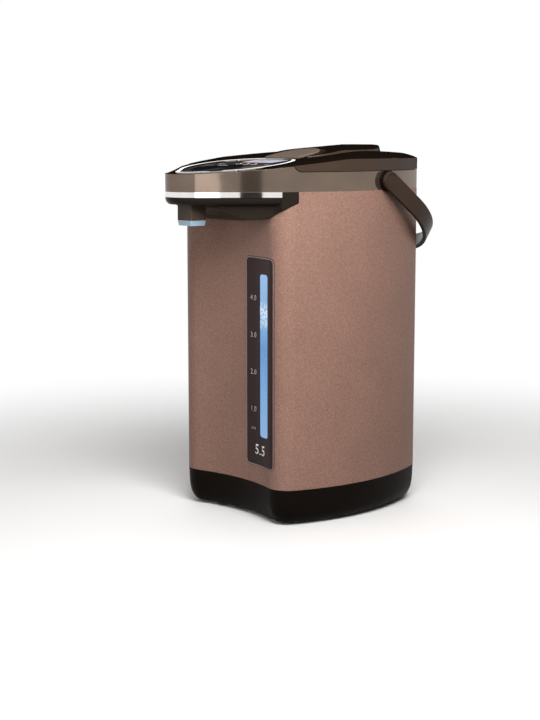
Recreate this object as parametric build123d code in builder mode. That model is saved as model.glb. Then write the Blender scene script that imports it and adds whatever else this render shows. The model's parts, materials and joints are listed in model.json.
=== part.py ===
from build123d import *
import os
from math import asin, atan2, degrees, cos, radians, sin, sqrt

# Electric thermo pot: a heated tank in a steel sleeve, with an electric pump, a beaked head with
# a control panel and spout, a rear-hinged lid with a press latch, and a swinging carry handle.
# Origin: centre of the footprint on the table.  +Z up, the spout points along -Y.  Millimetres.

# ---------------------------------------------------------------- driving dimensions
# Heights above the table
PAD_TOP = 3.0            # rubber feet
BASE_TOP = 35.0          # top of the plastic base ring
SHELL_TOP = 310.4        # top of the steel sleeve
PARTING = 328.0          # deck of the head, where the lid comes down
STRIP_HEIGHT = 4.8       # bright strip round the beak
TANK_BOTTOM = 60.0
TANK_TOP = 305.0

# Plan of the body: four bowed sides meeting at rounded corners
CORNER_X = 68.7
CORNER_Y = 94.0
SIDE_BOW = 23.0
FRONT_HOLLOW = 14.0
BACK_BOW = 9.7
CORNER_RADIUS = 20.0
BASE_FOOT_INSET = 7.7

# Beak of the head
NOSE_TIP_Y = -158.5
NOSE_RADIUS = 28.2
SHOULDER_Y = -91.5
SHOULDER_RADIUS = 12.0

# Wall thicknesses and gaps
STEEL = 1.0
WALL = 2.6
LID_GAP = 0.5
SLIDE_FIT = 0.25

# Teardrop control panel: a hull of a nose circle and a rear circle
PANEL_NOSE_Y = -130.3
PANEL_NOSE_RADIUS = 18.3
PANEL_REAR_Y = -80.0
PANEL_REAR_RADIUS = 54.0
TRIM_WIDTH = 2.4
TRIM_RISE = 1.3
LID_FRONT_RADIUS = PANEL_REAR_RADIUS + 1.0
WING_FRONT_Y = -78.0     # how far the side wings of the lid reach forward
LID_REAR_Y = 98.0

# Tank and mouth
TANK_Y = 12.0
TANK_RADIUS = 84.0
MOUTH_Y = 41.0
MOUTH_RADIUS = 48.0
NECK_WALL = 3.0
SLEEVE_RADIUS = 87.5

# Hinge of the lid, latch and handle pivots
HINGE_Y, HINGE_Z, HINGE_RADIUS = 97.0, 338.5, 2.0
LATCH_Y, LATCH_Z = -12.0, 335.8
HANDLE_Y, HANDLE_Z = 26.2, 318.8
HANDLE_DROP = 35.7       # degrees below the horizontal, at rest
HANDLE_REACH = 111.1     # from the pivots to the middle of the crossbar
HANDLE_INNER_X = 94.0
HANDLE_STRAP, HANDLE_WIDTH, HANDLE_CORNER = 4.0, 17.2, 70.0
PIVOT_RADIUS = 4.0

# Water gauge on the front wall
GAUGE_X = 43.3
GAUGE_PANEL_X = 38.0
GAUGE_PANEL_WIDTH, GAUGE_PANEL_BOTTOM, GAUGE_PANEL_TOP = 42.0, 53.5, 249.0
GAUGE_WINDOW_WIDTH, GAUGE_WINDOW_BOTTOM, GAUGE_WINDOW_TOP = 13.0, 81.0, 234.0
GAUGE_TUBE_Y = -76.5
GAUGE_TUBE_RADIUS = 4.5

# Pump under the tank
PUMP_X, PUMP_Y = -28.0, 16.0

# Spout
SPOUT_WIDTH, SPOUT_FRONT_Y, SPOUT_BACK_Y = 20.4, -144.2, -126.2
SPOUT_BOTTOM, SPOUT_TOP = 284.2, 299.5
SPOUT_ROUND, TIP_HEIGHT, TIP_TAPER = 1.4, 4.8, 0.7
SPOUT_Y = (SPOUT_FRONT_Y + SPOUT_BACK_Y) / 2

FAR = 130.0              # longer than half of any section, for through cuts
os.makedirs("parts", exist_ok=True)


def save(builder, name):
    """Label one finished piece and write it to its own file."""
    builder.part.label = name
    export_step(builder.part, f"parts/{name}.step")


# ---------------------------------------------------------------- outlines
# Each outline takes a step: the same shape, moved inwards all round by that much.
side_radius = (CORNER_Y**2 + SIDE_BOW**2) / (2 * SIDE_BOW)
side_centre = side_radius - CORNER_X - SIDE_BOW
back_radius = (CORNER_X**2 + BACK_BOW**2) / (2 * BACK_BOW)
back_centre = CORNER_Y + BACK_BOW - back_radius
front_radius = (CORNER_X**2 + FRONT_HOLLOW**2) / (2 * FRONT_HOLLOW)
front_centre = FRONT_HOLLOW - CORNER_Y - front_radius


def side_x(y):
    """Half-width of the bowed side at a given Y."""
    return sqrt(side_radius**2 - y**2) - side_centre


def barrel(step):
    """The two bowed sides and the bowed back, without their front."""
    with BuildSketch() as outline:
        with Locations((-side_centre, 0)):
            Circle(side_radius - step)
        with Locations((side_centre, 0)):
            Circle(side_radius - step, mode=Mode.INTERSECT)
        with Locations((0, back_centre)):
            Circle(back_radius - step, mode=Mode.INTERSECT)
    return outline.sketch


def body_outline(step):
    """Section of the body: bowed sides, hollow front and rounded corners."""
    with BuildSketch() as outline:
        add(barrel(step))
        with Locations((0, front_centre)):
            Circle(front_radius + step, mode=Mode.SUBTRACT)
        corners = outline.vertices().filter_by(lambda v: abs(v.Y) > CORNER_Y / 2)
        fillet(corners, CORNER_RADIUS - step)
    return outline.sketch


# The straight flank of the beak runs from the shoulder, tangent to the nose arc
nose_y = NOSE_TIP_Y + NOSE_RADIUS
to_nose = Vector(-side_x(SHOULDER_Y), nose_y - SHOULDER_Y)
flank_angle = atan2(to_nose.Y, to_nose.X) + asin(NOSE_RADIUS / to_nose.length)
flank = Vector(-cos(flank_angle), -sin(flank_angle)) * 4 * CORNER_Y


def head_outline(step):
    """Section of the head: the barrel of the body, closed by the flanks and nose of the beak."""
    with BuildSketch() as outline:
        with Locations((0, nose_y), (flank.X, nose_y + flank.Y), (-flank.X, nose_y + flank.Y)):
            Circle(NOSE_RADIUS - step)
        make_hull()
        add(barrel(step), mode=Mode.INTERSECT)
        fillet(outline.vertices().filter_by(lambda v: v.Y > CORNER_Y / 2), CORNER_RADIUS - step)
        shoulders = outline.vertices().filter_by(lambda v: abs(v.Y - SHOULDER_Y) < 8)
        fillet(shoulders, SHOULDER_RADIUS - step)
    return outline.sketch


def panel_outline(step):
    """Teardrop of the control panel."""
    with BuildSketch() as outline:
        with Locations((0, PANEL_NOSE_Y)):
            Circle(PANEL_NOSE_RADIUS - step)
        with Locations((0, PANEL_REAR_Y)):
            Circle(PANEL_REAR_RADIUS - step)
        make_hull()
    return outline.sketch


def lid_outline(step):
    """Section of the lid: the body, cut back to the panel in front and the hinge behind."""
    with BuildSketch() as outline:
        add(body_outline(step))
        with Locations((0, (WING_FRONT_Y + LID_REAR_Y) / 2)):
            Rectangle(2 * FAR, LID_REAR_Y - WING_FRONT_Y - 2 * step, mode=Mode.INTERSECT)
        with Locations((0, PANEL_REAR_Y)):
            Circle(LID_FRONT_RADIUS + LID_GAP + step, mode=Mode.SUBTRACT)
    return outline.sketch


def under_rim(rise):
    """Everything below the sloping rim of the head, seen from the side, raised by a little."""
    with BuildPart() as solid:
        with BuildSketch(Plane.YZ):
            with BuildLine():
                Spline(
                    (-170, 326.6 + rise), (-106, 330 + rise), (-73, 333.8 + rise),
                    (-23, 338.2 + rise), (35, 339.6 + rise), (112, 340.4 + rise),
                )
                Polyline((112, 340.4 + rise), (112, 250), (-170, 250), (-170, 326.6 + rise))
            make_face()
        extrude(amount=FAR, both=True)
    return solid.part


def lid_space(grow):
    """The room that the lid takes out of the head, grown by a wall thickness."""
    front = WING_FRONT_Y - LID_GAP - grow
    floor = PARTING - grow
    with BuildPart() as room:
        with BuildSketch(Plane.YZ):
            with BuildLine():
                Polyline((front, 360), (front, floor + 8))
                RadiusArc((front, floor + 8), (front + 8, floor), -8)
                Polyline((front + 8, floor), (115, floor), (115, 360), (front, 360))
            make_face()
        extrude(amount=FAR, both=True)
        with BuildSketch(Plane.XY.offset(300)):
            with Locations((0, PANEL_REAR_Y)):
                Circle(LID_FRONT_RADIUS - grow)
        extrude(amount=70, mode=Mode.SUBTRACT)
    return room.part


# ---------------------------------------------------------------- base
SCREW_SPAN_X, SCREW_SPAN_Y = 108.0, 130.0
SCREW_CORE, SCREW_HEAD = 1.8, 3.6
PAD_RADIUS = 8.0
PADS = [(0, 0), (38, -66), (-38, -66), (46, 78), (-46, 78)]

with BuildPart() as base_ring:
    foot_profile = [(PAD_TOP, BASE_FOOT_INSET), (10, 3.0), (22, 0.7), (BASE_TOP, 0)]
    for height, step in foot_profile:
        with BuildSketch(Plane.XY.offset(height)):
            add(body_outline(step))
    loft()
    for height, step in [(PAD_TOP + 2.5, 8.6), (10, 3.0 + WALL), (22, 0.7 + WALL), (BASE_TOP - 3, WALL)]:
        with BuildSketch(Plane.XY.offset(height)):
            add(body_outline(step))
    loft(mode=Mode.SUBTRACT)
    # opening for the bottom cover, and the hole in the deck that the pump hangs through
    with BuildSketch(Plane.XY.offset(PAD_TOP)):
        add(body_outline(15))
    extrude(amount=4, mode=Mode.SUBTRACT)
    with BuildSketch(Plane.XY.offset(BASE_TOP - 3)):
        with Locations((0, TANK_Y)):
            Circle(70)
    extrude(amount=3, mode=Mode.SUBTRACT)
    # bosses that take the base screws
    with BuildSketch(Plane.XY.offset(8)):
        with GridLocations(SCREW_SPAN_X, SCREW_SPAN_Y, 2, 2):
            Circle(5)
    extrude(amount=BASE_TOP - 3 - 8)
    with BuildSketch(Plane.XY.offset(8)):
        with GridLocations(SCREW_SPAN_X, SCREW_SPAN_Y, 2, 2):
            Circle(SCREW_CORE)
    extrude(amount=14, mode=Mode.SUBTRACT)
save(base_ring, "base_ring")

with BuildPart() as bottom_cover:
    with BuildSketch(Plane.XY.offset(PAD_TOP)):
        add(body_outline(15))
    extrude(amount=2.5)
    with BuildSketch(Plane.XY.offset(PAD_TOP + 2.5)):
        add(body_outline(11))
    extrude(amount=2.5)
    # cooling slots under the motor
    with BuildSketch(Plane.XY.offset(PAD_TOP)):
        with Locations((PUMP_X, PUMP_Y)):
            with GridLocations(0, 7, 1, 5):
                SlotOverall(34, 3)
    extrude(amount=5, mode=Mode.SUBTRACT)
    # countersunk seats for the screws
    with Locations(Plane.XY.offset(PAD_TOP)):
        with GridLocations(SCREW_SPAN_X, SCREW_SPAN_Y, 2, 2):
            with Locations(Rotation(180, 0, 0)):
                CounterBoreHole(2.0, 4.0, 2.0, depth=5)
save(bottom_cover, "bottom_cover")

with BuildPart() as foot_pads:
    with BuildSketch():
        with Locations(*PADS):
            Circle(PAD_RADIUS)
    extrude(amount=PAD_TOP)
    chamfer(foot_pads.edges().group_by(Axis.Z)[0], 0.8)
save(foot_pads, "foot_pads")

with BuildPart() as base_screws:
    with BuildSketch(Plane.XY.offset(PAD_TOP)):
        with GridLocations(SCREW_SPAN_X, SCREW_SPAN_Y, 2, 2):
            Circle(SCREW_HEAD)
    extrude(amount=2)
    with BuildSketch(Plane.XY.offset(PAD_TOP + 2)):
        with GridLocations(SCREW_SPAN_X, SCREW_SPAN_Y, 2, 2):
            Circle(SCREW_CORE)
    extrude(amount=14)
    # cross recess in each head
    with BuildSketch(Plane.XY.offset(PAD_TOP)):
        with GridLocations(SCREW_SPAN_X, SCREW_SPAN_Y, 2, 2):
            Rectangle(4, 0.9)
            Rectangle(0.9, 4)
    extrude(amount=1.2, mode=Mode.SUBTRACT)
save(base_screws, "base_screws")

# ---------------------------------------------------------------- steel sleeve of the body
INLET_Z, INLET_WIDTH, INLET_HEIGHT = 50.0, 34.0, 20.0
panel_height = GAUGE_PANEL_TOP - GAUGE_PANEL_BOTTOM
panel_z = (GAUGE_PANEL_TOP + GAUGE_PANEL_BOTTOM) / 2
window_height = GAUGE_WINDOW_TOP - GAUGE_WINDOW_BOTTOM
window_z = (GAUGE_WINDOW_TOP + GAUGE_WINDOW_BOTTOM) / 2
front_plane = Plane(origin=(0, -75, 0), x_dir=(1, 0, 0), z_dir=(0, -1, 0))
back_plane = Plane(origin=(0, 90, 0), x_dir=(-1, 0, 0), z_dir=(0, 1, 0))

with BuildPart() as outer_shell:
    with BuildSketch(Plane.XY.offset(BASE_TOP)):
        add(body_outline(0))
        add(body_outline(STEEL), mode=Mode.SUBTRACT)
    extrude(amount=SHELL_TOP - BASE_TOP)
    with BuildSketch(front_plane):
        with Locations((GAUGE_PANEL_X, panel_z)):
            RectangleRounded(GAUGE_PANEL_WIDTH, panel_height, 4)
    extrude(amount=40, mode=Mode.SUBTRACT)
    with BuildSketch(back_plane):
        with Locations((0, INLET_Z)):
            RectangleRounded(INLET_WIDTH, INLET_HEIGHT, 3)
    extrude(amount=20, mode=Mode.SUBTRACT)
save(outer_shell, "outer_shell")

# ---------------------------------------------------------------- water gauge
with BuildPart() as gauge_bezel:
    # a plate that lies against the inside of the sleeve and fills its cut-out from behind
    with BuildSketch(Plane.XY.offset(GAUGE_PANEL_BOTTOM - 4)):
        add(body_outline(STEEL))
        add(body_outline(STEEL + 2), mode=Mode.SUBTRACT)
    extrude(amount=panel_height + 8)
    with BuildSketch(front_plane):
        with Locations((GAUGE_PANEL_X, panel_z)):
            RectangleRounded(GAUGE_PANEL_WIDTH + 5, panel_height + 6, 6)
    extrude(amount=40, mode=Mode.INTERSECT)
    with BuildSketch(front_plane):
        with Locations((GAUGE_X, window_z)):
            RectangleRounded(GAUGE_WINDOW_WIDTH, window_height, 3)
    extrude(amount=40, mode=Mode.SUBTRACT)
save(gauge_bezel, "gauge_bezel")

with BuildPart() as gauge_window:
    with BuildSketch(Plane.XY.offset(GAUGE_WINDOW_BOTTOM)):
        add(body_outline(STEEL + 0.4))
        add(body_outline(STEEL + 1.8), mode=Mode.SUBTRACT)
    extrude(amount=window_height)
    with BuildSketch(front_plane):
        with Locations((GAUGE_X, window_z)):
            RectangleRounded(GAUGE_WINDOW_WIDTH, window_height, 3)
    extrude(amount=40, mode=Mode.INTERSECT)
save(gauge_window, "gauge_window")

TUBE_BOTTOM, TUBE_TOP = 62.0, 250.0
with BuildPart() as gauge_tube:
    with BuildSketch(Plane.XY.offset(TUBE_BOTTOM)):
        with Locations((GAUGE_X, GAUGE_TUBE_Y)):
            Circle(GAUGE_TUBE_RADIUS)
            Circle(GAUGE_TUBE_RADIUS - 1.2, mode=Mode.SUBTRACT)
    extrude(amount=TUBE_TOP - TUBE_BOTTOM)
save(gauge_tube, "gauge_tube")

with BuildPart() as gauge_float:
    # a small bead that floats at the water level inside the tube
    with Locations((GAUGE_X, GAUGE_TUBE_Y, 176)):
        Sphere(GAUGE_TUBE_RADIUS - 1.5)
save(gauge_float, "gauge_float")

LIGHT_WIDTH, LIGHT_DEPTH = 16.0, 3.0
with BuildPart() as gauge_light:
    # light bar behind the tube, on two feet that reach the back of the bezel
    with BuildSketch(Plane.XY.offset(GAUGE_WINDOW_BOTTOM)):
        with Locations((GAUGE_X, GAUGE_TUBE_Y + GAUGE_TUBE_RADIUS + 0.3 + LIGHT_DEPTH / 2)):
            Rectangle(LIGHT_WIDTH, LIGHT_DEPTH)
    extrude(amount=window_height)
    light_ends = [GAUGE_WINDOW_BOTTOM - 7, GAUGE_WINDOW_TOP]
    for z in light_ends:
        with BuildSketch(Plane.XY.offset(z)):
            with Locations((GAUGE_X, GAUGE_TUBE_Y - 1.5)):
                Rectangle(LIGHT_WIDTH, 13)
            with Locations((GAUGE_X, GAUGE_TUBE_Y)):
                Circle(GAUGE_TUBE_RADIUS, mode=Mode.SUBTRACT)
        extrude(amount=7)
    with BuildSketch(Plane.XY.offset(GAUGE_WINDOW_BOTTOM - 7)):
        add(body_outline(STEEL + 2))
    extrude(amount=window_height + 14, mode=Mode.INTERSECT)
save(gauge_light, "gauge_light")

# ---------------------------------------------------------------- tank and heater
TANK_STUB_RADIUS, TANK_FOOT_RADIUS = 5.0, 8.0
with BuildPart() as tank_room:
    with BuildSketch(Plane.XY.offset(TANK_BOTTOM + STEEL)):
        with Locations((0, TANK_Y)):
            Circle(TANK_RADIUS - STEEL)
    extrude(amount=TANK_TOP - TANK_BOTTOM)
    fillet(tank_room.edges().group_by(Axis.Z)[0], TANK_FOOT_RADIUS - STEEL)

with BuildPart() as inner_tank:
    with BuildSketch(Plane.XY.offset(TANK_BOTTOM + TANK_FOOT_RADIUS)):
        with Locations((0, TANK_Y)):
            Circle(TANK_RADIUS)
            Circle(TANK_RADIUS - STEEL, mode=Mode.SUBTRACT)
    extrude(amount=TANK_TOP - TANK_BOTTOM - TANK_FOOT_RADIUS)
    # rolled flange that the seal lies on
    with BuildSketch(Plane.XY.offset(TANK_TOP - STEEL)):
        with Locations((0, TANK_Y)):
            Circle(SLEEVE_RADIUS)
            Circle(TANK_RADIUS - STEEL, mode=Mode.SUBTRACT)
    extrude(amount=STEEL)
save(inner_tank, "inner_tank")

with BuildPart() as tank_base:
    # the dished bottom, welded to the wall of the tank
    with BuildSketch(Plane.XY.offset(TANK_BOTTOM)):
        with Locations((0, TANK_Y)):
            Circle(TANK_RADIUS)
    extrude(amount=TANK_FOOT_RADIUS)
    fillet(tank_base.edges().group_by(Axis.Z)[0], TANK_FOOT_RADIUS - 0.01)
    # outlet stub over the pump
    with BuildSketch(Plane.XY.offset(TANK_BOTTOM - 8)):
        with Locations((PUMP_X, PUMP_Y)):
            Circle(TANK_STUB_RADIUS)
    extrude(amount=8)
    add(tank_room.part, mode=Mode.SUBTRACT)
    with BuildSketch(Plane.XY.offset(TANK_BOTTOM - 8)):
        with Locations((PUMP_X, PUMP_Y)):
            Circle(TANK_STUB_RADIUS - 1)
    extrude(amount=10, mode=Mode.SUBTRACT)
save(tank_base, "tank_base")

HEATER_BOTTOM, HEATER_TOP = 72.0, 102.0
with BuildPart() as heater_band:
    with BuildSketch(Plane.XY.offset(HEATER_BOTTOM)):
        with Locations((0, TANK_Y)):
            Circle(TANK_RADIUS + 1.6)
            Circle(TANK_RADIUS, mode=Mode.SUBTRACT)
        # the split where the clamp screw draws the band tight
        with Locations((TANK_RADIUS, TANK_Y)):
            Rectangle(12, 6, mode=Mode.SUBTRACT)
    extrude(amount=HEATER_TOP - HEATER_BOTTOM)
save(heater_band, "heater_band")

with BuildPart() as insulation_sleeve:
    with BuildSketch(Plane.XY.offset(HEATER_TOP + 2)):
        with Locations((0, TANK_Y)):
            Circle(SLEEVE_RADIUS)
            Circle(TANK_RADIUS, mode=Mode.SUBTRACT)
    extrude(amount=TANK_TOP - 1 - HEATER_TOP - 2)
save(insulation_sleeve, "insulation_sleeve")

with BuildPart() as thermostats:
    for x, y in [(34, 40), (34, -14)]:
        with BuildSketch(Plane.XY.offset(TANK_BOTTOM - 4)):
            with Locations((x, y)):
                Circle(8)
        extrude(amount=4)
        with BuildSketch(Plane.XY.offset(TANK_BOTTOM - 10)):
            with Locations((x, y)):
                Rectangle(14, 9)
        extrude(amount=6)
save(thermostats, "thermostats")

HOSE_WINDOW_ANGLE = -74      # where the riser hose crosses the support
SUPPORT_RADIUS, SUPPORT_WALL, SUPPORT_FLANGE = 80.0, 2.0, 2.0
SUPPORT_FOOT_INNER, SUPPORT_SEAT_INNER = 74.0, 66.0
WINDOW_DEPTH, WINDOW_WIDTH = 12.0, 30.0
with BuildPart() as tank_support:
    # foot on the deck of the base ring, wall, and the seat under the tank
    with BuildSketch(Plane.XY.offset(BASE_TOP)):
        with Locations((0, TANK_Y)):
            Circle(SUPPORT_RADIUS + SUPPORT_WALL)
            Circle(SUPPORT_FOOT_INNER, mode=Mode.SUBTRACT)
    extrude(amount=SUPPORT_FLANGE)
    with BuildSketch(Plane.XY.offset(BASE_TOP + SUPPORT_FLANGE)):
        with Locations((0, TANK_Y)):
            Circle(SUPPORT_RADIUS)
            Circle(SUPPORT_RADIUS - SUPPORT_WALL, mode=Mode.SUBTRACT)
    extrude(amount=TANK_BOTTOM - BASE_TOP - 2 * SUPPORT_FLANGE)
    with BuildSketch(Plane.XY.offset(TANK_BOTTOM - SUPPORT_FLANGE)):
        with Locations((0, TANK_Y)):
            Circle(SUPPORT_RADIUS)
            Circle(SUPPORT_SEAT_INNER, mode=Mode.SUBTRACT)
    extrude(amount=SUPPORT_FLANGE)
    # windows that let the wiring and the riser hose through
    with BuildSketch(Plane.XY.offset(BASE_TOP + 4)):
        with Locations((0, TANK_Y)):
            with PolarLocations(SUPPORT_RADIUS - SUPPORT_WALL / 2, 6, start_angle=HOSE_WINDOW_ANGLE):
                Rectangle(WINDOW_DEPTH, WINDOW_WIDTH)
    extrude(amount=TANK_BOTTOM - BASE_TOP - 8, mode=Mode.SUBTRACT)
    with BuildSketch(Plane.XY.offset(BASE_TOP)):
        with Locations((0, TANK_Y)):
            with PolarLocations(SUPPORT_RADIUS - SUPPORT_WALL / 2, 1, start_angle=HOSE_WINDOW_ANGLE):
                Rectangle(WINDOW_DEPTH, WINDOW_WIDTH)
    extrude(amount=4, mode=Mode.SUBTRACT)
save(tank_support, "tank_support")

# ---------------------------------------------------------------- pump
PUMP_FLOOR, PUMP_TOP = 33.0, 46.0
PUMP_RADIUS = 20.0
OUTLET_Z = 40.0
HOSE_RADIUS, HOSE_BORE = 4.6, 3.0
# The riser leaves the pump on a tangent, runs forward and turns up to the gauge tube
hose_start = Vector(PUMP_X + PUMP_RADIUS - 6, PUMP_Y - 12)
hose_end = Vector(GAUGE_X, GAUGE_TUBE_Y)

with BuildPart() as pump_housing:
    with BuildSketch(Plane.XY.offset(PUMP_FLOOR)):
        with Locations((PUMP_X, PUMP_Y)):
            Circle(PUMP_RADIUS)
    extrude(amount=PUMP_TOP - PUMP_FLOOR)
    with BuildSketch(Plane.XY.offset(PUMP_TOP)):
        with Locations((PUMP_X, PUMP_Y)):
            Circle(TANK_STUB_RADIUS)
    extrude(amount=4)
    # outlet spigot, square to the first run of the riser hose
    with BuildSketch(Plane(origin=(hose_start.X, PUMP_Y, OUTLET_Z), z_dir=(0, -1, 0))):
        Circle(HOSE_RADIUS)
    extrude(amount=PUMP_Y - hose_start.Y + 10)
    # chamber, inlet and outlet bores
    with BuildSketch(Plane.XY.offset(PUMP_FLOOR + 1.5)):
        with Locations((PUMP_X, PUMP_Y)):
            Circle(PUMP_RADIUS - 2)
    extrude(amount=PUMP_TOP - PUMP_FLOOR - 3, mode=Mode.SUBTRACT)
    with BuildSketch(Plane.XY.offset(PUMP_TOP - 2)):
        with Locations((PUMP_X, PUMP_Y)):
            Circle(TANK_STUB_RADIUS - 1)
    extrude(amount=6, mode=Mode.SUBTRACT)
    with BuildSketch(Plane(origin=(hose_start.X, PUMP_Y, OUTLET_Z), z_dir=(0, -1, 0))):
        Circle(HOSE_BORE)
    extrude(amount=PUMP_Y - hose_start.Y + 10, mode=Mode.SUBTRACT)
save(pump_housing, "pump_housing")

with BuildPart() as pump_impeller:
    with BuildSketch(Plane.XY.offset(PUMP_FLOOR + 2)):
        with Locations((PUMP_X, PUMP_Y)):
            Circle(15.5)
    extrude(amount=2)
    with BuildSketch(Plane.XY.offset(PUMP_FLOOR + 4)):
        with Locations((PUMP_X, PUMP_Y)):
            Circle(3.5)
            with PolarLocations(9, 6):
                Rectangle(12, 1.2, rotation=24)
    extrude(amount=5)
save(pump_impeller, "pump_impeller")

with BuildPart() as drive_magnet:
    with BuildSketch(Plane.XY.offset(PUMP_FLOOR - 6.4)):
        with Locations((PUMP_X, PUMP_Y)):
            Circle(14)
    extrude(amount=6)
    # the motor shaft that carries it
    with BuildSketch(Plane.XY.offset(PUMP_FLOOR - 10)):
        with Locations((PUMP_X, PUMP_Y)):
            Circle(1.5)
    extrude(amount=3.6)
save(drive_magnet, "drive_magnet")

MOTOR_RADIUS = 12.0
with BuildPart() as pump_motor:
    with BuildSketch(Plane.XY.offset(9)):
        with Locations((PUMP_X, PUMP_Y)):
            Circle(MOTOR_RADIUS)
    extrude(amount=16)
    # cup that surrounds the magnet and carries the pump housing
    with BuildSketch(Plane.XY.offset(25)):
        with Locations((PUMP_X, PUMP_Y)):
            Circle(PUMP_RADIUS)
    extrude(amount=PUMP_FLOOR - 25)
    with BuildSketch(Plane.XY.offset(26)):
        with Locations((PUMP_X, PUMP_Y)):
            Circle(15)
    extrude(amount=PUMP_FLOOR - 26, mode=Mode.SUBTRACT)
    with BuildSketch(Plane.XY.offset(22)):
        with Locations((PUMP_X, PUMP_Y)):
            Circle(1.6)
    extrude(amount=6, mode=Mode.SUBTRACT)
save(pump_motor, "pump_motor")

with BuildPart() as inlet_hose:
    with BuildSketch(Plane.XY.offset(PUMP_TOP + 0.2)):
        with Locations((PUMP_X, PUMP_Y)):
            Circle(TANK_STUB_RADIUS + 1.8)
            Circle(TANK_STUB_RADIUS, mode=Mode.SUBTRACT)
    extrude(amount=TANK_BOTTOM - PUMP_TOP - 2)
save(inlet_hose, "inlet_hose")

with BuildPart() as riser_hose:
    with BuildLine() as riser_route:
        FilletPolyline(
            (hose_start.X, hose_start.Y - 10, OUTLET_Z),
            (hose_start.X, hose_end.Y + 34, OUTLET_Z),
            (hose_end.X, hose_end.Y, OUTLET_Z),
            (hose_end.X, hose_end.Y, TUBE_BOTTOM),
            radius=[14, 9],
        )
    with BuildSketch(Plane(origin=riser_route.line @ 0, z_dir=riser_route.line % 0)):
        Circle(HOSE_RADIUS)
        Circle(HOSE_BORE, mode=Mode.SUBTRACT)
    sweep()
save(riser_hose, "riser_hose")

OUTLET_PIPE_Z = 315.2
PIPE_RADIUS = 3.8
with BuildPart() as outlet_hose:
    with BuildLine() as outlet_route:
        FilletPolyline(
            (GAUGE_X, GAUGE_TUBE_Y, TUBE_TOP),
            (GAUGE_X, GAUGE_TUBE_Y, OUTLET_PIPE_Z),
            (0, SPOUT_Y, OUTLET_PIPE_Z),
            (0, SPOUT_Y, SPOUT_TOP),
            radius=[11, 11],
        )
    with BuildSketch(Plane(origin=outlet_route.line @ 0, z_dir=outlet_route.line % 0)):
        Circle(PIPE_RADIUS)
        Circle(PIPE_RADIUS - 1.2, mode=Mode.SUBTRACT)
    sweep()
save(outlet_hose, "outlet_hose")

# ---------------------------------------------------------------- mains side
POWER_X, POWER_Y = 19.0, 38.0
with BuildPart() as power_board:
    with BuildSketch(Plane.XY.offset(13)):
        with Locations((POWER_X, POWER_Y)):
            Rectangle(52, 52)
    extrude(amount=1.6)
    # transformer, relay and capacitor
    with BuildSketch(Plane.XY.offset(14.6)):
        with Locations((POWER_X - 14, POWER_Y + 8)):
            Rectangle(22, 18)
        with Locations((POWER_X + 16, POWER_Y + 10)):
            Rectangle(16, 20)
    extrude(amount=13)
    with BuildSketch(Plane.XY.offset(14.6)):
        with Locations((POWER_X + 14, POWER_Y - 14)):
            Circle(6)
    extrude(amount=14)
    # spacers down to the cover
    with BuildSketch(Plane.XY.offset(PAD_TOP + 5)):
        with Locations((POWER_X, POWER_Y)):
            with GridLocations(44, 44, 2, 2):
                Circle(2.5)
    extrude(amount=5)
save(power_board, "power_board")

inlet_back = CORNER_Y + BACK_BOW - 9
with BuildPart() as power_inlet:
    with BuildSketch(Plane(origin=(0, inlet_back, INLET_Z), x_dir=(-1, 0, 0), z_dir=(0, 1, 0))):
        RectangleRounded(INLET_WIDTH, INLET_HEIGHT, 3)
    extrude(amount=9)
    # lip outside the sleeve
    with BuildSketch(Plane(origin=(0, CORNER_Y + BACK_BOW, INLET_Z), x_dir=(-1, 0, 0), z_dir=(0, 1, 0))):
        RectangleRounded(INLET_WIDTH + 5, INLET_HEIGHT + 5, 5)
    extrude(amount=1.6)
    with BuildSketch(Plane(origin=(0, inlet_back + 2, INLET_Z), x_dir=(-1, 0, 0), z_dir=(0, 1, 0))):
        RectangleRounded(INLET_WIDTH - 6, INLET_HEIGHT - 6, 3)
    extrude(amount=12, mode=Mode.SUBTRACT)
save(power_inlet, "power_inlet")

with BuildPart() as inlet_pins:
    with BuildSketch(Plane(origin=(0, inlet_back + 2, INLET_Z), x_dir=(-1, 0, 0), z_dir=(0, 1, 0))):
        with GridLocations(13, 0, 2, 1):
            Circle(2)
    extrude(amount=6.5)
    fillet(inlet_pins.faces().group_by(Axis.Y)[-1].edges(), 0.8)
save(inlet_pins, "inlet_pins")

# ---------------------------------------------------------------- mouth
MOUTH_FLOOR = TANK_TOP + 2.0
MOUTH_PLATE = 2.6
NECK_TOP = PARTING - 1.4
with BuildPart() as tank_seal:
    with BuildSketch(Plane.XY.offset(TANK_TOP)):
        with Locations((0, TANK_Y)):
            Circle(SLEEVE_RADIUS - 0.5)
            Circle(TANK_RADIUS - 4, mode=Mode.SUBTRACT)
    extrude(amount=MOUTH_FLOOR - TANK_TOP)
save(tank_seal, "tank_seal")

with BuildPart() as mouth_plate:
    with BuildSketch(Plane.XY.offset(MOUTH_FLOOR)):
        with Locations((0, TANK_Y)):
            Circle(SLEEVE_RADIUS)
        with Locations((0, MOUTH_Y)):
            Circle(MOUTH_RADIUS + NECK_WALL, mode=Mode.SUBTRACT)
    extrude(amount=MOUTH_PLATE)
save(mouth_plate, "mouth_plate")

with BuildPart() as mouth_funnel:
    # the neck, pressed into the plate
    with BuildSketch(Plane.XY.offset(MOUTH_FLOOR)):
        with Locations((0, MOUTH_Y)):
            Circle(MOUTH_RADIUS + NECK_WALL)
            Circle(MOUTH_RADIUS, mode=Mode.SUBTRACT)
    extrude(amount=NECK_TOP - MOUTH_FLOOR)
    chamfer(mouth_funnel.edges().filter_by(GeomType.CIRCLE).group_by(Axis.Z)[-1].sort_by(SortBy.RADIUS)[0], 1.2)
save(mouth_funnel, "mouth_funnel")

# ---------------------------------------------------------------- head
HINGE_LUG_X, HINGE_LUG_WIDTH = 30.0, 7.0
HINGE_EYE = 4.2
LATCH_SLOT_Y = -18.5
KEEPER_SLOT_WIDTH, KEEPER_SLOT_DEPTH = 18.0, 8.0
bowl_limit_y = -74.0


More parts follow.
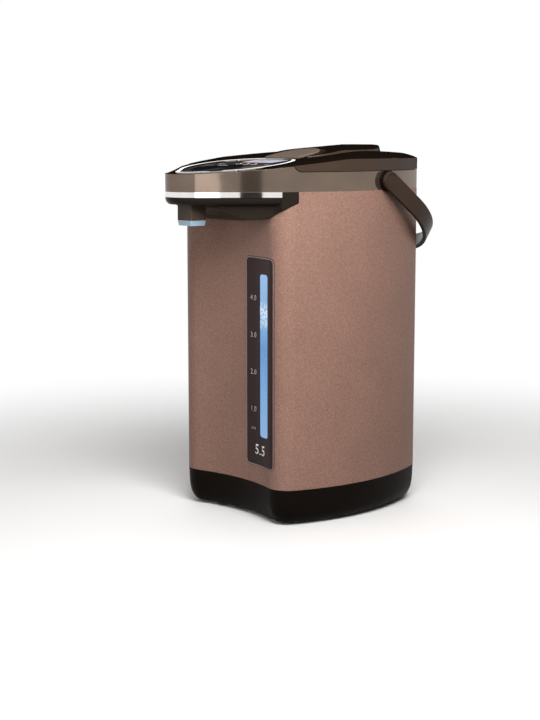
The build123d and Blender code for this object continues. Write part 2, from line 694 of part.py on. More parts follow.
# The room inside the collar and the beak, below the roof and the deck
with BuildPart() as head_hollow:
    with BuildSketch(Plane.XY.offset(SHELL_TOP)):
        add(head_outline(WALL))
    extrude(amount=40)
    add(under_rim(-WALL), mode=Mode.INTERSECT)
    add(lid_space(WALL), mode=Mode.SUBTRACT)

with BuildPart() as head_housing:
    with BuildSketch(Plane.XY.offset(SHELL_TOP)):
        add(head_outline(0))
    extrude(amount=40)
    add(under_rim(0), mode=Mode.INTERSECT)
    add(lid_space(0), mode=Mode.SUBTRACT)
    add(head_hollow.part, mode=Mode.SUBTRACT)
    # opening that the control panel fills
    with BuildSketch(Plane.XY.offset(PARTING - 8)):
        add(panel_outline(TRIM_WIDTH))
    extrude(amount=30, mode=Mode.SUBTRACT)
    # mouth hole in the deck, round the neck of the funnel
    with BuildSketch(Plane.XY.offset(PARTING - WALL)):
        with Locations((0, MOUTH_Y)):
            Circle(MOUTH_RADIUS + NECK_WALL)
    extrude(amount=WALL, mode=Mode.SUBTRACT)
    # posts that press the funnel down on the seal
    with BuildSketch(Plane.XY.offset(MOUTH_FLOOR + MOUTH_PLATE)):
        with Locations((66, 12), (-66, 12), (60, 52), (-60, 52)):
            Circle(4)
    extrude(amount=PARTING - WALL - MOUTH_FLOOR - MOUTH_PLATE)
    # lip that drops inside the sleeve, everywhere but under the beak
    with BuildSketch(Plane.XY.offset(SHELL_TOP - 6)):
        add(body_outline(STEEL))
        add(body_outline(STEEL + 1.8), mode=Mode.SUBTRACT)
        with Locations((0, 20)):
            Rectangle(2 * FAR, 2 * (20 - bowl_limit_y), mode=Mode.INTERSECT)
    extrude(amount=6.5)
    # fixed rear rim and the two hinge lugs
    with BuildSketch(Plane.XY.offset(PARTING)):
        add(body_outline(0))
        with Locations((0, LID_REAR_Y + LID_GAP + 10)):
            Rectangle(120, 20, mode=Mode.INTERSECT)
    extrude(amount=2)
    for side in (-1, 1):
        with BuildSketch(Plane.YZ.offset(side * HINGE_LUG_X)):
            with Locations((HINGE_Y, HINGE_Z)):
                Circle(HINGE_EYE)
            with Locations((HINGE_Y, (HINGE_Z + PARTING - 1) / 2)):
                Rectangle(2 * HINGE_EYE, HINGE_Z - PARTING + 1)
        extrude(amount=HINGE_LUG_WIDTH / 2, both=True)
        with BuildSketch(Plane.YZ.offset(side * HINGE_LUG_X)):
            with Locations((HINGE_Y, HINGE_Z)):
                Circle(HINGE_RADIUS)
        extrude(amount=HINGE_LUG_WIDTH, both=True, mode=Mode.SUBTRACT)
    # slot in the deck: its rear edge is the keeper that the latch claw catches under
    with BuildSketch(Plane.XY.offset(PARTING - WALL)):
        with Locations((0, LATCH_SLOT_Y)):
            Rectangle(KEEPER_SLOT_WIDTH, KEEPER_SLOT_DEPTH)
    extrude(amount=WALL, mode=Mode.SUBTRACT)
    # seats for the handle bosses
    with BuildSketch(Plane.YZ.offset(-FAR)):
        with Locations((HANDLE_Y, HANDLE_Z)):
            Circle(PIVOT_RADIUS + 2)
    extrude(amount=2 * FAR, mode=Mode.SUBTRACT)
save(head_housing, "head_housing")

# ---------------------------------------------------------------- beak: strip, bowl and spout
strip_end_y = SHOULDER_Y + 3
with BuildPart() as beak_strip:
    with BuildSketch(Plane.XY.offset(SHELL_TOP - STRIP_HEIGHT)):
        add(head_outline(-0.4))
        add(head_outline(1.6), mode=Mode.SUBTRACT)
        with Locations((0, strip_end_y - 50)):
            Rectangle(2 * FAR, 100, mode=Mode.INTERSECT)
        add(body_outline(0), mode=Mode.SUBTRACT)
    extrude(amount=STRIP_HEIGHT)
save(beak_strip, "beak_strip")

bowl_top = SHELL_TOP - STRIP_HEIGHT
BOWL_BOTTOM = 280.0
BOWL_PROUD = 0.5         # how far its skirt stands off the sleeve
BOWL_ROUND = [(bowl_top, 0.3), (303, 0.6), (300.6, 1.8), (298.8, 4.2), (297.8, 8)]
with BuildPart() as bowl_outside:
    # the rounded lower edge of the beak
    for height, step in BOWL_ROUND:
        with BuildSketch(Plane.XY.offset(height)):
            add(head_outline(step))
    loft()
    with BuildSketch(Plane.XY.offset(BOWL_BOTTOM)):
        add(head_outline(BOWL_ROUND[-1][1]))
    extrude(amount=BOWL_ROUND[-1][0] - BOWL_BOTTOM)
    # a skirt round the corners of the sleeve, up to the collar behind the ends of the strip
    with BuildSketch(Plane.XY.offset(BOWL_BOTTOM)):
        add(body_outline(-BOWL_PROUD))
    extrude(amount=bowl_top - BOWL_BOTTOM)
    with BuildSketch(Plane.XY.offset(BOWL_BOTTOM)):
        add(head_outline(0))
        add(body_outline(-BOWL_PROUD))
        with Locations((0, strip_end_y + 0.2 + 50)):
            Rectangle(2 * FAR, 100, mode=Mode.INTERSECT)
    extrude(amount=SHELL_TOP - BOWL_BOTTOM)
    # seen from the front, the underside is an arch turned upside down
    with BuildSketch(Plane.XZ):
        with BuildLine():
            Spline((-79.4, 303), (-77.4, 299.6), (-73.5, 296), (-67, 292), (-58, 287.4), (-44, 284.9),
                   (-22, 283.2), (0, 282.6), (22, 283.2), (44, 284.9), (58, 287.4), (67, 292),
                   (73.5, 296), (77.4, 299.6), (79.4, 303))
            Polyline((79.4, 303), (84, 312), (84, 330), (-84, 330), (-84, 312), (-79.4, 303))
        make_face()
    extrude(amount=200, both=True, mode=Mode.INTERSECT)
    # seen from the side, it runs level past the spout and then drops into a belly
    with BuildSketch(Plane.YZ):
        with BuildLine():
            Spline((-170, 299.6), (-150, 298.8), (-133, 296.6), (-121, 291.6), (-110, 286.6), (-98, 283.6),
                   (-82, 282.2), (-60, 281.5))
            Polyline((-60, 281.5), (-60, 330), (-170, 330), (-170, 299.6))
        make_face()
    extrude(amount=FAR, both=True, mode=Mode.INTERSECT)

with BuildPart() as beak_bowl:
    add(bowl_outside.part)
    # inner rim that backs the strip
    with BuildSketch(Plane.XY.offset(bowl_top)):
        add(head_outline(1.6))
    extrude(amount=STRIP_HEIGHT)
    with BuildSketch(Plane.XY.offset(BOWL_BOTTOM)):
        add(body_outline(0))
        with Locations((0, bowl_limit_y + 100)):
            Rectangle(2 * FAR, 200)
    extrude(amount=60, mode=Mode.SUBTRACT)
    # hollow above the floor
    with BuildSketch(Plane.XY.offset(300)):
        add(head_outline(1.6 + WALL))
    extrude(amount=20, mode=Mode.SUBTRACT)
    # bore that the outlet hose comes down through
    with BuildSketch(Plane.XY.offset(270)):
        with Locations((0, SPOUT_Y)):
            Circle(PIPE_RADIUS + 0.2)
    extrude(amount=40, mode=Mode.SUBTRACT)
save(beak_bowl, "beak_bowl")

with BuildPart() as spout_block:
    with BuildSketch(Plane.XY.offset(SPOUT_BOTTOM)):
        with Locations((0, SPOUT_Y)):
            RectangleRounded(SPOUT_WIDTH, SPOUT_BACK_Y - SPOUT_FRONT_Y, SPOUT_ROUND)
    extrude(amount=SPOUT_TOP - SPOUT_BOTTOM)
    add(bowl_outside.part, mode=Mode.SUBTRACT)
    with BuildSketch(Plane.XY.offset(SPOUT_BOTTOM)):
        with Locations((0, SPOUT_Y)):
            Circle(PIPE_RADIUS + 0.2)
    extrude(amount=20, mode=Mode.SUBTRACT)
save(spout_block, "spout_block")

with BuildPart() as spout_tip:
    # clear light ring round the mouth of the spout
    with BuildSketch(Plane.XY.offset(SPOUT_BOTTOM)):
        with Locations((0, SPOUT_Y)):
            RectangleRounded(SPOUT_WIDTH, SPOUT_BACK_Y - SPOUT_FRONT_Y, SPOUT_ROUND)
    with BuildSketch(Plane.XY.offset(SPOUT_BOTTOM - TIP_HEIGHT)):
        with Locations((0, SPOUT_Y)):
            RectangleRounded(SPOUT_WIDTH - 2 * TIP_TAPER, SPOUT_BACK_Y - SPOUT_FRONT_Y - 2 * TIP_TAPER, SPOUT_ROUND)
    loft()
    with BuildSketch(Plane.XY.offset(SPOUT_BOTTOM - TIP_HEIGHT)):
        with Locations((0, SPOUT_Y)):
            Circle(PIPE_RADIUS - 0.6)
    extrude(amount=TIP_HEIGHT, mode=Mode.SUBTRACT)
save(spout_tip, "spout_tip")

# ---------------------------------------------------------------- control panel
with BuildPart() as panel_trim_ring:
    with BuildSketch(Plane.XY.offset(320)):
        add(panel_outline(0))
        add(panel_outline(TRIM_WIDTH + 0.8), mode=Mode.SUBTRACT)
    extrude(amount=30)
    add(under_rim(TRIM_RISE), mode=Mode.INTERSECT)
    add(under_rim(0), mode=Mode.SUBTRACT)
save(panel_trim_ring, "panel_trim_ring")

BUTTON_Y, BUTTON_HALF_WIDTH, BUTTON_HALF_LENGTH = -104.5, 18.0, 27.0
BUTTON_TRAVEL = 1.2
KEY_X, KEY_Y, KEY_HALF_WIDTH, KEY_HALF_LENGTH = 34.5, -88.0, 6.5, 12.0
KEY_TURN = 90 - degrees(flank_angle) - 180      # in line with the flank of the beak
DISPLAY_Y, DISPLAY_WIDTH, DISPLAY_DEPTH = -46.0, 42.0, 22.5
LAMP_Y, LAMP_SPACING, LAMP_RADIUS = -66.5, 11.0, 1.1
BOARD_Z, BOARD_THICKNESS = 319.4, 1.6
BOARD_TOP = BOARD_Z + BOARD_THICKNESS
FLANGE_Z, FLANGE_THICKNESS, FLANGE_WIDTH = 322.6, 1.2, 1.2


def key_outline(side, grow):
    """Oval of a side key, turned to follow the trim ring."""
    with Locations((side * KEY_X, KEY_Y)):
        Ellipse(KEY_HALF_WIDTH + grow, KEY_HALF_LENGTH + grow, rotation=-side * KEY_TURN)


with BuildPart() as control_panel:
    with BuildSketch(Plane.XY.offset(315)):
        add(panel_outline(TRIM_WIDTH))
    extrude(amount=40)
    add(under_rim(0), mode=Mode.INTERSECT)
    add(under_rim(-2.4), mode=Mode.SUBTRACT)
    with BuildSketch(Plane.XY.offset(315)):
        with Locations((0, BUTTON_Y)):
            Ellipse(BUTTON_HALF_WIDTH + SLIDE_FIT, BUTTON_HALF_LENGTH + SLIDE_FIT)
        key_outline(1, SLIDE_FIT)
        key_outline(-1, SLIDE_FIT)
        with Locations((0, DISPLAY_Y)):
            RectangleRounded(DISPLAY_WIDTH, DISPLAY_DEPTH, 1.5)
        with Locations((0, LAMP_Y)):
            with GridLocations(LAMP_SPACING, 0, 3, 1):
                Circle(LAMP_RADIUS)
    extrude(amount=40, mode=Mode.SUBTRACT)
    # posts that carry the control board
    with BuildSketch(Plane.XY.offset(BOARD_TOP)):
        with Locations((24, -62), (-24, -62), (9, -137), (-9, -137)):
            Circle(2.2)
    extrude(until=Until.NEXT)
save(control_panel, "control_panel")

with BuildPart() as dispense_button:
    with BuildSketch(Plane.XY.offset(FLANGE_Z)):
        with Locations((0, BUTTON_Y)):
            Ellipse(BUTTON_HALF_WIDTH, BUTTON_HALF_LENGTH)
    extrude(amount=20)
    with BuildSketch(Plane.YZ):
        with BuildLine():
            Spline((BUTTON_Y - 30, 328.6), (BUTTON_Y - 14, 331.3), (BUTTON_Y + 4, 333.4), (BUTTON_Y + 30, 334.3))
            Polyline((BUTTON_Y + 30, 334.3), (BUTTON_Y + 30, 315), (BUTTON_Y - 30, 315), (BUTTON_Y - 30, 328.6))
        make_face()
    extrude(amount=FAR, both=True, mode=Mode.INTERSECT)
    with BuildSketch(Plane.XZ):
        with BuildLine():
            ThreePointArc((-24, 329.5), (0, 333.9), (24, 329.5))
            Polyline((24, 329.5), (24, 315), (-24, 315), (-24, 329.5))
        make_face()
    extrude(amount=200, both=True, mode=Mode.INTERSECT)
    # retaining flange under the panel
    with BuildSketch(Plane.XY.offset(FLANGE_Z)):
        with Locations((0, BUTTON_Y)):
            Ellipse(BUTTON_HALF_WIDTH + FLANGE_WIDTH, BUTTON_HALF_LENGTH + FLANGE_WIDTH)
    extrude(amount=FLANGE_THICKNESS)
    # hollow underneath
    with BuildSketch(Plane.XY.offset(FLANGE_Z)):
        with Locations((0, BUTTON_Y)):
            Ellipse(BUTTON_HALF_WIDTH - 2, BUTTON_HALF_LENGTH - 2)
    extrude(amount=3.6, mode=Mode.SUBTRACT)
save(dispense_button, "dispense_button")

for side, key_name in [(1, "unlock_button"), (-1, "reboil_button")]:
    with BuildPart() as side_key:
        with BuildSketch(Plane.XY.offset(FLANGE_Z)):
            key_outline(side, 0)
        extrude(amount=20)
        add(under_rim(0.9), mode=Mode.INTERSECT)
        fillet(side_key.faces().sort_by(Axis.Z)[-1].edges(), 0.6)
        with BuildSketch(Plane.XY.offset(FLANGE_Z)):
            key_outline(side, FLANGE_WIDTH)
        extrude(amount=FLANGE_THICKNESS)
        with BuildSketch(Plane.XY.offset(FLANGE_Z)):
            key_outline(side, -2)
        extrude(amount=3, mode=Mode.SUBTRACT)
    save(side_key, key_name)

with BuildPart() as control_board:
    with BuildSketch(Plane.XY.offset(BOARD_Z)):
        add(panel_outline(10))
    extrude(amount=BOARD_THICKNESS)
    # one push switch under each button
    with BuildSketch(Plane.XY.offset(BOARD_TOP)):
        with Locations((0, BUTTON_Y)):
            Rectangle(6, 6)
    extrude(amount=3.4)
    with BuildSketch(Plane.XY.offset(BOARD_TOP)):
        with Locations((KEY_X, KEY_Y), (-KEY_X, KEY_Y)):
            Rectangle(5, 5)
    extrude(amount=3)
save(control_board, "control_board")

MODULE_TOP = 330.6
with BuildPart() as display_module:
    with BuildSketch(Plane.XY.offset(BOARD_TOP)):
        with Locations((0, DISPLAY_Y)):
            with GridLocations(34, 14, 2, 2):
                Circle(1.8)
    extrude(amount=4)
    with BuildSketch(Plane.XY.offset(BOARD_TOP + 4)):
        with Locations((0, DISPLAY_Y)):
            Rectangle(DISPLAY_WIDTH + 2, DISPLAY_DEPTH)
    extrude(amount=MODULE_TOP - BOARD_TOP - 4)
save(display_module, "display_module")

with BuildPart() as display_window:
    with BuildSketch(Plane.XY.offset(MODULE_TOP)):
        with Locations((0, DISPLAY_Y)):
            RectangleRounded(DISPLAY_WIDTH, DISPLAY_DEPTH, 1.5)
    extrude(amount=20)
    add(under_rim(0.2), mode=Mode.INTERSECT)
save(display_window, "display_window")

with BuildPart() as indicator_lamps:
    with BuildSketch(Plane.XY.offset(BOARD_TOP)):
        with Locations((0, LAMP_Y)):
            with GridLocations(LAMP_SPACING, 0, 3, 1):
                Circle(LAMP_RADIUS)
    extrude(amount=20)
    add(under_rim(0.2), mode=Mode.INTERSECT)
save(indicator_lamps, "indicator_lamps")

# ---------------------------------------------------------------- lid
TONGUE_RADIUS, TONGUE_Y, TONGUE_FRONT_Y = 24.0, -7.0, -24.0
SCOOP_RADIUS, SCOOP_Y, SCOOP_FLOOR = 31.0, -8.0, 332.4
LID_WALL = 2.4
HUMP_HALF_WIDTH = 46.0
HINGE_SLOT = HINGE_LUG_WIDTH + 1.2


# The edge of the lid rises in a low crown: height and distance in from the outline
LID_CROWN = [(339.3, 0), (341.0, 3.5), (342.6, 8.5), (344.4, 15)]


def lid_crown(step, drop):
    """Everything under the crowned edge of the lid."""
    with BuildPart() as crown:
        with BuildSketch(Plane.XY.offset(PARTING - 10)):
            add(body_outline(step))
        extrude(amount=LID_CROWN[0][0] - drop - PARTING + 10)
        for height, inset in LID_CROWN:
            with BuildSketch(Plane.XY.offset(height - drop)):
                add(body_outline(step + inset))
        loft()
        with BuildSketch(Plane.XY.offset(LID_CROWN[-1][0] - drop)):
            add(body_outline(step + LID_CROWN[-1][1]))
        extrude(amount=20)
    return crown.part


def lid_form(step, drop):
    """The outside of the lid, or with a step and a drop the room inside its walls."""
    with BuildPart() as form:
        with BuildSketch(Plane.XY.offset(PARTING)):
            add(lid_outline(step))
        extrude(amount=40)
        with BuildSketch(Plane.YZ):
            with BuildLine():
                Spline((-90, 332.2 - drop), (-60, 335.6 - drop), (-23, 339.6 - drop), (20, 344.6 - drop),
                       (62, 345.6 - drop), (99, 340.2 - drop))
                Polyline((99, 340.2 - drop), (99, 320), (-90, 320), (-90, 332.2 - drop))
            make_face()
        extrude(amount=FAR, both=True, mode=Mode.INTERSECT)
        with BuildSketch(Plane.XZ):
            with BuildLine():
                ThreePointArc((-92, 339.4 - drop), (0, 348 - drop), (92, 339.4 - drop))
                Polyline((92, 339.4 - drop), (92, 320), (-92, 320), (-92, 339.4 - drop))
            make_face()
        extrude(amount=200, both=True, mode=Mode.INTERSECT)
        add(lid_crown(step, drop), mode=Mode.INTERSECT)
        add(lid_space(-LID_GAP - step), mode=Mode.INTERSECT)
    return form.part


def hump_form(step, drop):
    """The raised spine of the lid."""
    with BuildPart() as form:
        for height, draft in [(333, 0), (352, 5)]:
            with BuildSketch(Plane.XY.offset(height)):
                with Locations((0, 12)):
                    Circle(44 - draft - step)
                with Locations((0, 55)):
                    Circle(42 - draft - step)
                make_hull()
        loft()
        with BuildSketch(Plane.YZ):
            with BuildLine():
                Spline((-36, 338.4 - drop), (-10, 342.4 - drop), (12, 345.9 - drop), (30, 348.1 - drop),
                       (50, 349.8 - drop), (70, 351.9 - drop), (84, 352.1 - drop), (93, 349.8 - drop),
                       (100, 344.6 - drop))
                Polyline((100, 344.6 - drop), (100, 320), (-36, 320), (-36, 338.4 - drop))
            make_face()
        extrude(amount=FAR, both=True, mode=Mode.INTERSECT)
        with BuildSketch(Plane.XZ):
            with BuildLine():
                ThreePointArc((-HUMP_HALF_WIDTH, 344.8 - drop), (0, 352.6 - drop), (HUMP_HALF_WIDTH, 344.8 - drop))
                Polyline((HUMP_HALF_WIDTH, 344.8 - drop), (HUMP_HALF_WIDTH, 320), (-HUMP_HALF_WIDTH, 320),
                         (-HUMP_HALF_WIDTH, 344.8 - drop))
            make_face()
        extrude(amount=200, both=True, mode=Mode.INTERSECT)
        # stays within the lid in front
        with BuildSketch(Plane.XY.offset(330)):
            with Locations((0, PANEL_REAR_Y)):
                Circle(LID_FRONT_RADIUS + LID_GAP + step)
        extrude(amount=40, mode=Mode.SUBTRACT)
    return form.part


LINER_TOP = SCOOP_FLOOR - LID_WALL
LID_SCREWS = [(30, 26), (-30, 26), (26, 62), (-26, 62)]
with BuildPart() as lid_hollow:
    add(lid_form(LID_WALL, LID_WALL + 0.2))
    add(hump_form(LID_WALL, LID_WALL + 0.2))
    # open underneath, but for the rounded front of the wings
    with BuildSketch(Plane.XY.offset(PARTING + LID_GAP)):
        add(lid_outline(LID_WALL))
        with Locations((0, WING_FRONT_Y + 10 + FAR)):
            Rectangle(2 * FAR, 2 * FAR, mode=Mode.INTERSECT)
    extrude(amount=LID_WALL + 0.1)
    with BuildSketch(Plane.XY.offset(SCOOP_FLOOR - LID_WALL)):
        with Locations((0, SCOOP_Y)):
            Circle(SCOOP_RADIUS + LID_WALL)
    extrude(amount=40, mode=Mode.SUBTRACT)
    # solid ground round the hinge, and bosses for the screws of the liner
    with BuildSketch(Plane.XY.offset(320)):
        with Locations((0, HINGE_Y + 6)):
            Rectangle(2 * HINGE_LUG_X + HINGE_SLOT + 8, 20)
    extrude(amount=40, mode=Mode.SUBTRACT)
    with BuildSketch(Plane.XY.offset(LINER_TOP)):
        with Locations((0, HINGE_Y)):
            Rectangle(2 * HINGE_LUG_X + HINGE_SLOT + 8, 26)
        with Locations(*LID_SCREWS):
            Circle(4)
    extrude(amount=40, mode=Mode.SUBTRACT)

VENT_Y, VENT_HALF_WIDTH, VENT_HALF_DEPTH, VENT_BOTTOM = 71.0, 15.0, 8.5, 345.6
LATCH_LUG_X, LATCH_LUG_WIDTH = 9.0, 3.0
with BuildPart() as lid_cover:
    add(lid_form(0, 0))
    add(hump_form(0, 0))
    add(lid_hollow.part, mode=Mode.SUBTRACT)
    # finger scoop round the latch, open to the front
    with BuildSketch(Plane.XY.offset(SCOOP_FLOOR)):
        with Locations((0, SCOOP_Y)):
            Circle(SCOOP_RADIUS)
    extrude(amount=40, mode=Mode.SUBTRACT)
    # lugs that carry the latch pin
    for side in (-1, 1):
        with BuildSketch(Plane.YZ.offset(side * LATCH_LUG_X)):
            with Locations((LATCH_Y, LATCH_Z)):
                Circle(2.2)
            with Locations((LATCH_Y, (LATCH_Z + SCOOP_FLOOR - 1) / 2)):
                Rectangle(4.4, LATCH_Z - SCOOP_FLOOR + 1)
        extrude(amount=LATCH_LUG_WIDTH / 2, both=True)
    with BuildSketch(Plane.YZ.offset(-20)):
        with Locations((LATCH_Y, LATCH_Z)):
            Circle(1.2)
    extrude(amount=40, mode=Mode.SUBTRACT)
    # slot that the latch claw passes through
    with BuildSketch(Plane.XY.offset(320)):
        with Locations((0, LATCH_SLOT_Y + 1)):
            Rectangle(12, 8)
    extrude(amount=SCOOP_FLOOR - 320, mode=Mode.SUBTRACT)
    # slots that straddle the hinge lugs, and the bore for the pin
    with BuildSketch(Plane.XY.offset(320)):
        with Locations((HINGE_LUG_X, HINGE_Y + 2), (-HINGE_LUG_X, HINGE_Y + 2)):
            Rectangle(HINGE_SLOT, 2 * HINGE_EYE + 6)
    extrude(amount=40, mode=Mode.SUBTRACT)
    with BuildSketch(Plane.YZ.offset(-60)):
        with Locations((HINGE_Y, HINGE_Z)):
            Circle(HINGE_RADIUS + 0.05)
    extrude(amount=120, mode=Mode.SUBTRACT)
    # opening for the steam vent, and pilot holes for the screws of the liner
    with BuildSketch(Plane.XY.offset(VENT_BOTTOM)):
        with Locations((0, VENT_Y)):
            Ellipse(VENT_HALF_WIDTH, VENT_HALF_DEPTH)
    extrude(amount=20, mode=Mode.SUBTRACT)
    with BuildSketch(Plane.XY.offset(LINER_TOP)):
        with Locations(*LID_SCREWS):
            Circle(1.5)
    extrude(amount=9, mode=Mode.SUBTRACT)
save(lid_cover, "lid_cover")

with BuildPart() as hinge_pin:
    with BuildSketch(Plane.YZ.offset(-HINGE_LUG_X - 12)):
        with Locations((HINGE_Y, HINGE_Z)):
            Circle(HINGE_RADIUS)
    extrude(amount=2 * HINGE_LUG_X + 24)
save(hinge_pin, "hinge_pin")

LINER_RADIUS = 51.5
DISH_FLOOR = PARTING - 2
GASKET_TOP = PARTING + LID_GAP + 0.7
with BuildPart() as lid_liner:
    # plate under the cover and the plug that hangs in the mouth
    with BuildSketch(Plane.XY.offset(PARTING + LID_GAP)):
        with Locations((0, MOUTH_Y)):
            Circle(LINER_RADIUS)
        with Locations((0, LATCH_SLOT_Y + 1)):
            Rectangle(2 * FAR, 18, mode=Mode.SUBTRACT)
    extrude(amount=LINER_TOP - PARTING - LID_GAP)
    with BuildSketch(Plane.XY.offset(PARTING - 9)):
        with Locations((0, MOUTH_Y)):
            Circle(MOUTH_RADIUS - 5)
    with BuildSketch(Plane.XY.offset(PARTING + LID_GAP)):
        with Locations((0, MOUTH_Y)):
            Circle(MOUTH_RADIUS - 2)
    loft()
    # dished underside
    with BuildSketch(Plane.XY.offset(PARTING - 9)):
        with Locations((0, MOUTH_Y)):
            Circle(MOUTH_RADIUS - 8)
    extrude(amount=DISH_FLOOR - PARTING + 9, mode=Mode.SUBTRACT)
    # groove for the gasket, steam hole and screw holes
    with BuildSketch(Plane.XY.offset(PARTING + LID_GAP)):
        with Locations((0, MOUTH_Y)):
            Circle(MOUTH_RADIUS + 2.6)
            Circle(MOUTH_RADIUS - 1.2, mode=Mode.SUBTRACT)
    extrude(amount=GASKET_TOP - PARTING - LID_GAP, mode=Mode.SUBTRACT)
    with BuildSketch(Plane.XY.offset(PARTING - 9)):
        with Locations((0, VENT_Y)):
            Circle(4)
        with Locations(*LID_SCREWS):
            Circle(1.5)
    extrude(amount=20, mode=Mode.SUBTRACT)
save(lid_liner, "lid_liner")

with BuildPart() as lid_gasket:
    with BuildSketch(Plane.XY.offset(NECK_TOP + 0.3)):
        with Locations((0, MOUTH_Y)):
            Circle(MOUTH_RADIUS + 2.6)
            Circle(MOUTH_RADIUS - 1.2, mode=Mode.SUBTRACT)
    extrude(amount=GASKET_TOP - NECK_TOP - 0.3)
    fillet(lid_gasket.edges().group_by(Axis.Z)[0], 0.8)
save(lid_gasket, "lid_gasket")

with BuildPart() as lid_screws:
    with BuildSketch(Plane.XY.offset(DISH_FLOOR - 1.6)):
        with Locations(*LID_SCREWS):
            Circle(3)
    extrude(amount=1.6)
    chamfer(lid_screws.edges().group_by(Axis.Z)[0], 0.4)
    with BuildSketch(Plane.XY.offset(DISH_FLOOR)):
        with Locations(*LID_SCREWS):
            Circle(1.5)
    extrude(amount=12)
    with BuildSketch(Plane.XY.offset(DISH_FLOOR - 1.6)):
        with Locations(*LID_SCREWS):
            Rectangle(3.2, 0.8)
            Rectangle(0.8, 3.2)
    extrude(amount=1, mode=Mode.SUBTRACT)
save(lid_screws, "lid_screws")

with BuildPart() as vent_core:
    with BuildSketch(Plane.XY.offset(VENT_BOTTOM)):
        with Locations((0, VENT_Y)):
            Ellipse(VENT_HALF_WIDTH, VENT_HALF_DEPTH)
    extrude(amount=20)
    add(hump_form(0, -0.3), mode=Mode.INTERSECT)

with BuildPart() as steam_vent:
    # flange that bears on the underside of the cover
    with BuildSketch(Plane.XY.offset(VENT_BOTTOM)):
        with Locations((0, VENT_Y)):
            Ellipse(VENT_HALF_WIDTH + 1.8, VENT_HALF_DEPTH + 1.8)
    extrude(amount=20)
    add(hump_form(0, LID_WALL + 0.2), mode=Mode.INTERSECT)
    add(vent_core.part)
    with BuildSketch(Plane.XY.offset(VENT_BOTTOM)):
        with Locations((0, VENT_Y)):
            with GridLocations(0, 2.8, 1, 3):
                SlotOverall(20, 1.4)
    extrude(amount=20, mode=Mode.SUBTRACT)
save(steam_vent, "steam_vent")

with BuildPart() as steam_tube:
    with BuildSketch(Plane.XY.offset(LINER_TOP)):
        with Locations((0, VENT_Y)):
            Circle(8)
            Circle(4, mode=Mode.SUBTRACT)
    extrude(amount=1.4)
    with BuildSketch(Plane.XY.offset(LINER_TOP)):
        with Locations((0, VENT_Y)):
            Circle(5.4)
            Circle(4, mode=Mode.SUBTRACT)
    extrude(amount=VENT_BOTTOM - LINER_TOP)
save(steam_tube, "steam_tube")

# ---------------------------------------------------------------- latch
LATCH_RIB_X, LATCH_RIB_WIDTH, LATCH_PLATE = 12.5, 2.4, 2.2
LATCH_FRONT_Z, LATCH_REAR_Y, LATCH_REAR_Z = 341.0, 17.0, 348.6
HOOK_FRONT_Y, HOOK_REAR_Y, HOOK_WIDTH = -19.5, -17.0, 8.0
CLAW_TIP_Y, CLAW_TOP, CLAW_BOTTOM = -12.5, 325.1, 322.6
SPRING_Y, SPRING_RADIUS, SPRING_WIRE = 5.0, 3.2, 0.5
latch_slope = (LATCH_REAR_Z - LATCH_FRONT_Z) / (LATCH_REAR_Y - TONGUE_FRONT_Y)
spring_top = LATCH_FRONT_Z + (SPRING_Y - TONGUE_FRONT_Y) * latch_slope - LATCH_PLATE - SPRING_RADIUS * latch_slope

with BuildPart() as latch_lever:
    # the tongue that the finger presses
    with BuildSketch(Plane.XY.offset(330)):
        with Locations((0, TONGUE_Y)):
            Circle(TONGUE_RADIUS)
        with Locations((0, (TONGUE_Y + TONGUE_FRONT_Y) / 2)):
            Rectangle(2 * TONGUE_RADIUS, TONGUE_Y - TONGUE_FRONT_Y)
        with Locations((0, TONGUE_FRONT_Y - 20)):
            Rectangle(2 * FAR, 40, mode=Mode.SUBTRACT)
    extrude(amount=20)
    with BuildSketch(Plane.YZ):
        with BuildLine():
            Polyline(
                (TONGUE_FRONT_Y, LATCH_FRONT_Z), (LATCH_REAR_Y, LATCH_REAR_Z),
                (LATCH_REAR_Y, LATCH_REAR_Z - LATCH_PLATE), (TONGUE_FRONT_Y, LATCH_FRONT_Z - LATCH_PLATE),
                (TONGUE_FRONT_Y, LATCH_FRONT_Z),
            )
        make_face()
    extrude(amount=FAR, both=True, mode=Mode.INTERSECT)
    fillet(latch_lever.faces().sort_by(Axis.Z)[-1].edges(), 0.8)
    # ribs with the pivot eyes
    rib_top = LATCH_FRONT_Z + (LATCH_Y - TONGUE_FRONT_Y) * latch_slope - LATCH_PLATE / 2
    for side in (-1, 1):
        with BuildSketch(Plane.YZ.offset(side * LATCH_RIB_X)):
            with Locations((LATCH_Y, LATCH_Z)):
                Circle(2.4)
            with Locations((LATCH_Y, (LATCH_Z + rib_top) / 2)):
                Rectangle(4.8, rib_top - LATCH_Z)
        extrude(amount=LATCH_RIB_WIDTH / 2, both=True)
        with BuildSketch(Plane.YZ.offset(side * LATCH_RIB_X)):
            with Locations((LATCH_Y, LATCH_Z)):
                Circle(1.25)
        extrude(amount=LATCH_RIB_WIDTH, both=True, mode=Mode.SUBTRACT)
    # hook and claw
    hook_top = LATCH_FRONT_Z + (HOOK_FRONT_Y - TONGUE_FRONT_Y) * latch_slope - LATCH_PLATE / 2
    with BuildSketch(Plane.YZ):
        with BuildLine():
            Polyline(
                (HOOK_FRONT_Y, hook_top), (HOOK_FRONT_Y, CLAW_BOTTOM), (CLAW_TIP_Y - 1.5, CLAW_BOTTOM),
                (CLAW_TIP_Y, CLAW_TOP - 0.8), (CLAW_TIP_Y, CLAW_TOP), (HOOK_REAR_Y, CLAW_TOP),
                (HOOK_REAR_Y, hook_top), (HOOK_FRONT_Y, hook_top),
            )
        make_face()
    extrude(amount=HOOK_WIDTH / 2, both=True)
save(latch_lever, "latch_lever")

with BuildPart() as latch_pin:
    with BuildSketch(Plane.YZ.offset(-LATCH_RIB_X - 2.5)):
        with Locations((LATCH_Y, LATCH_Z)):
            Circle(1.2)
    extrude(amount=2 * LATCH_RIB_X + 5)
save(latch_pin, "latch_pin")

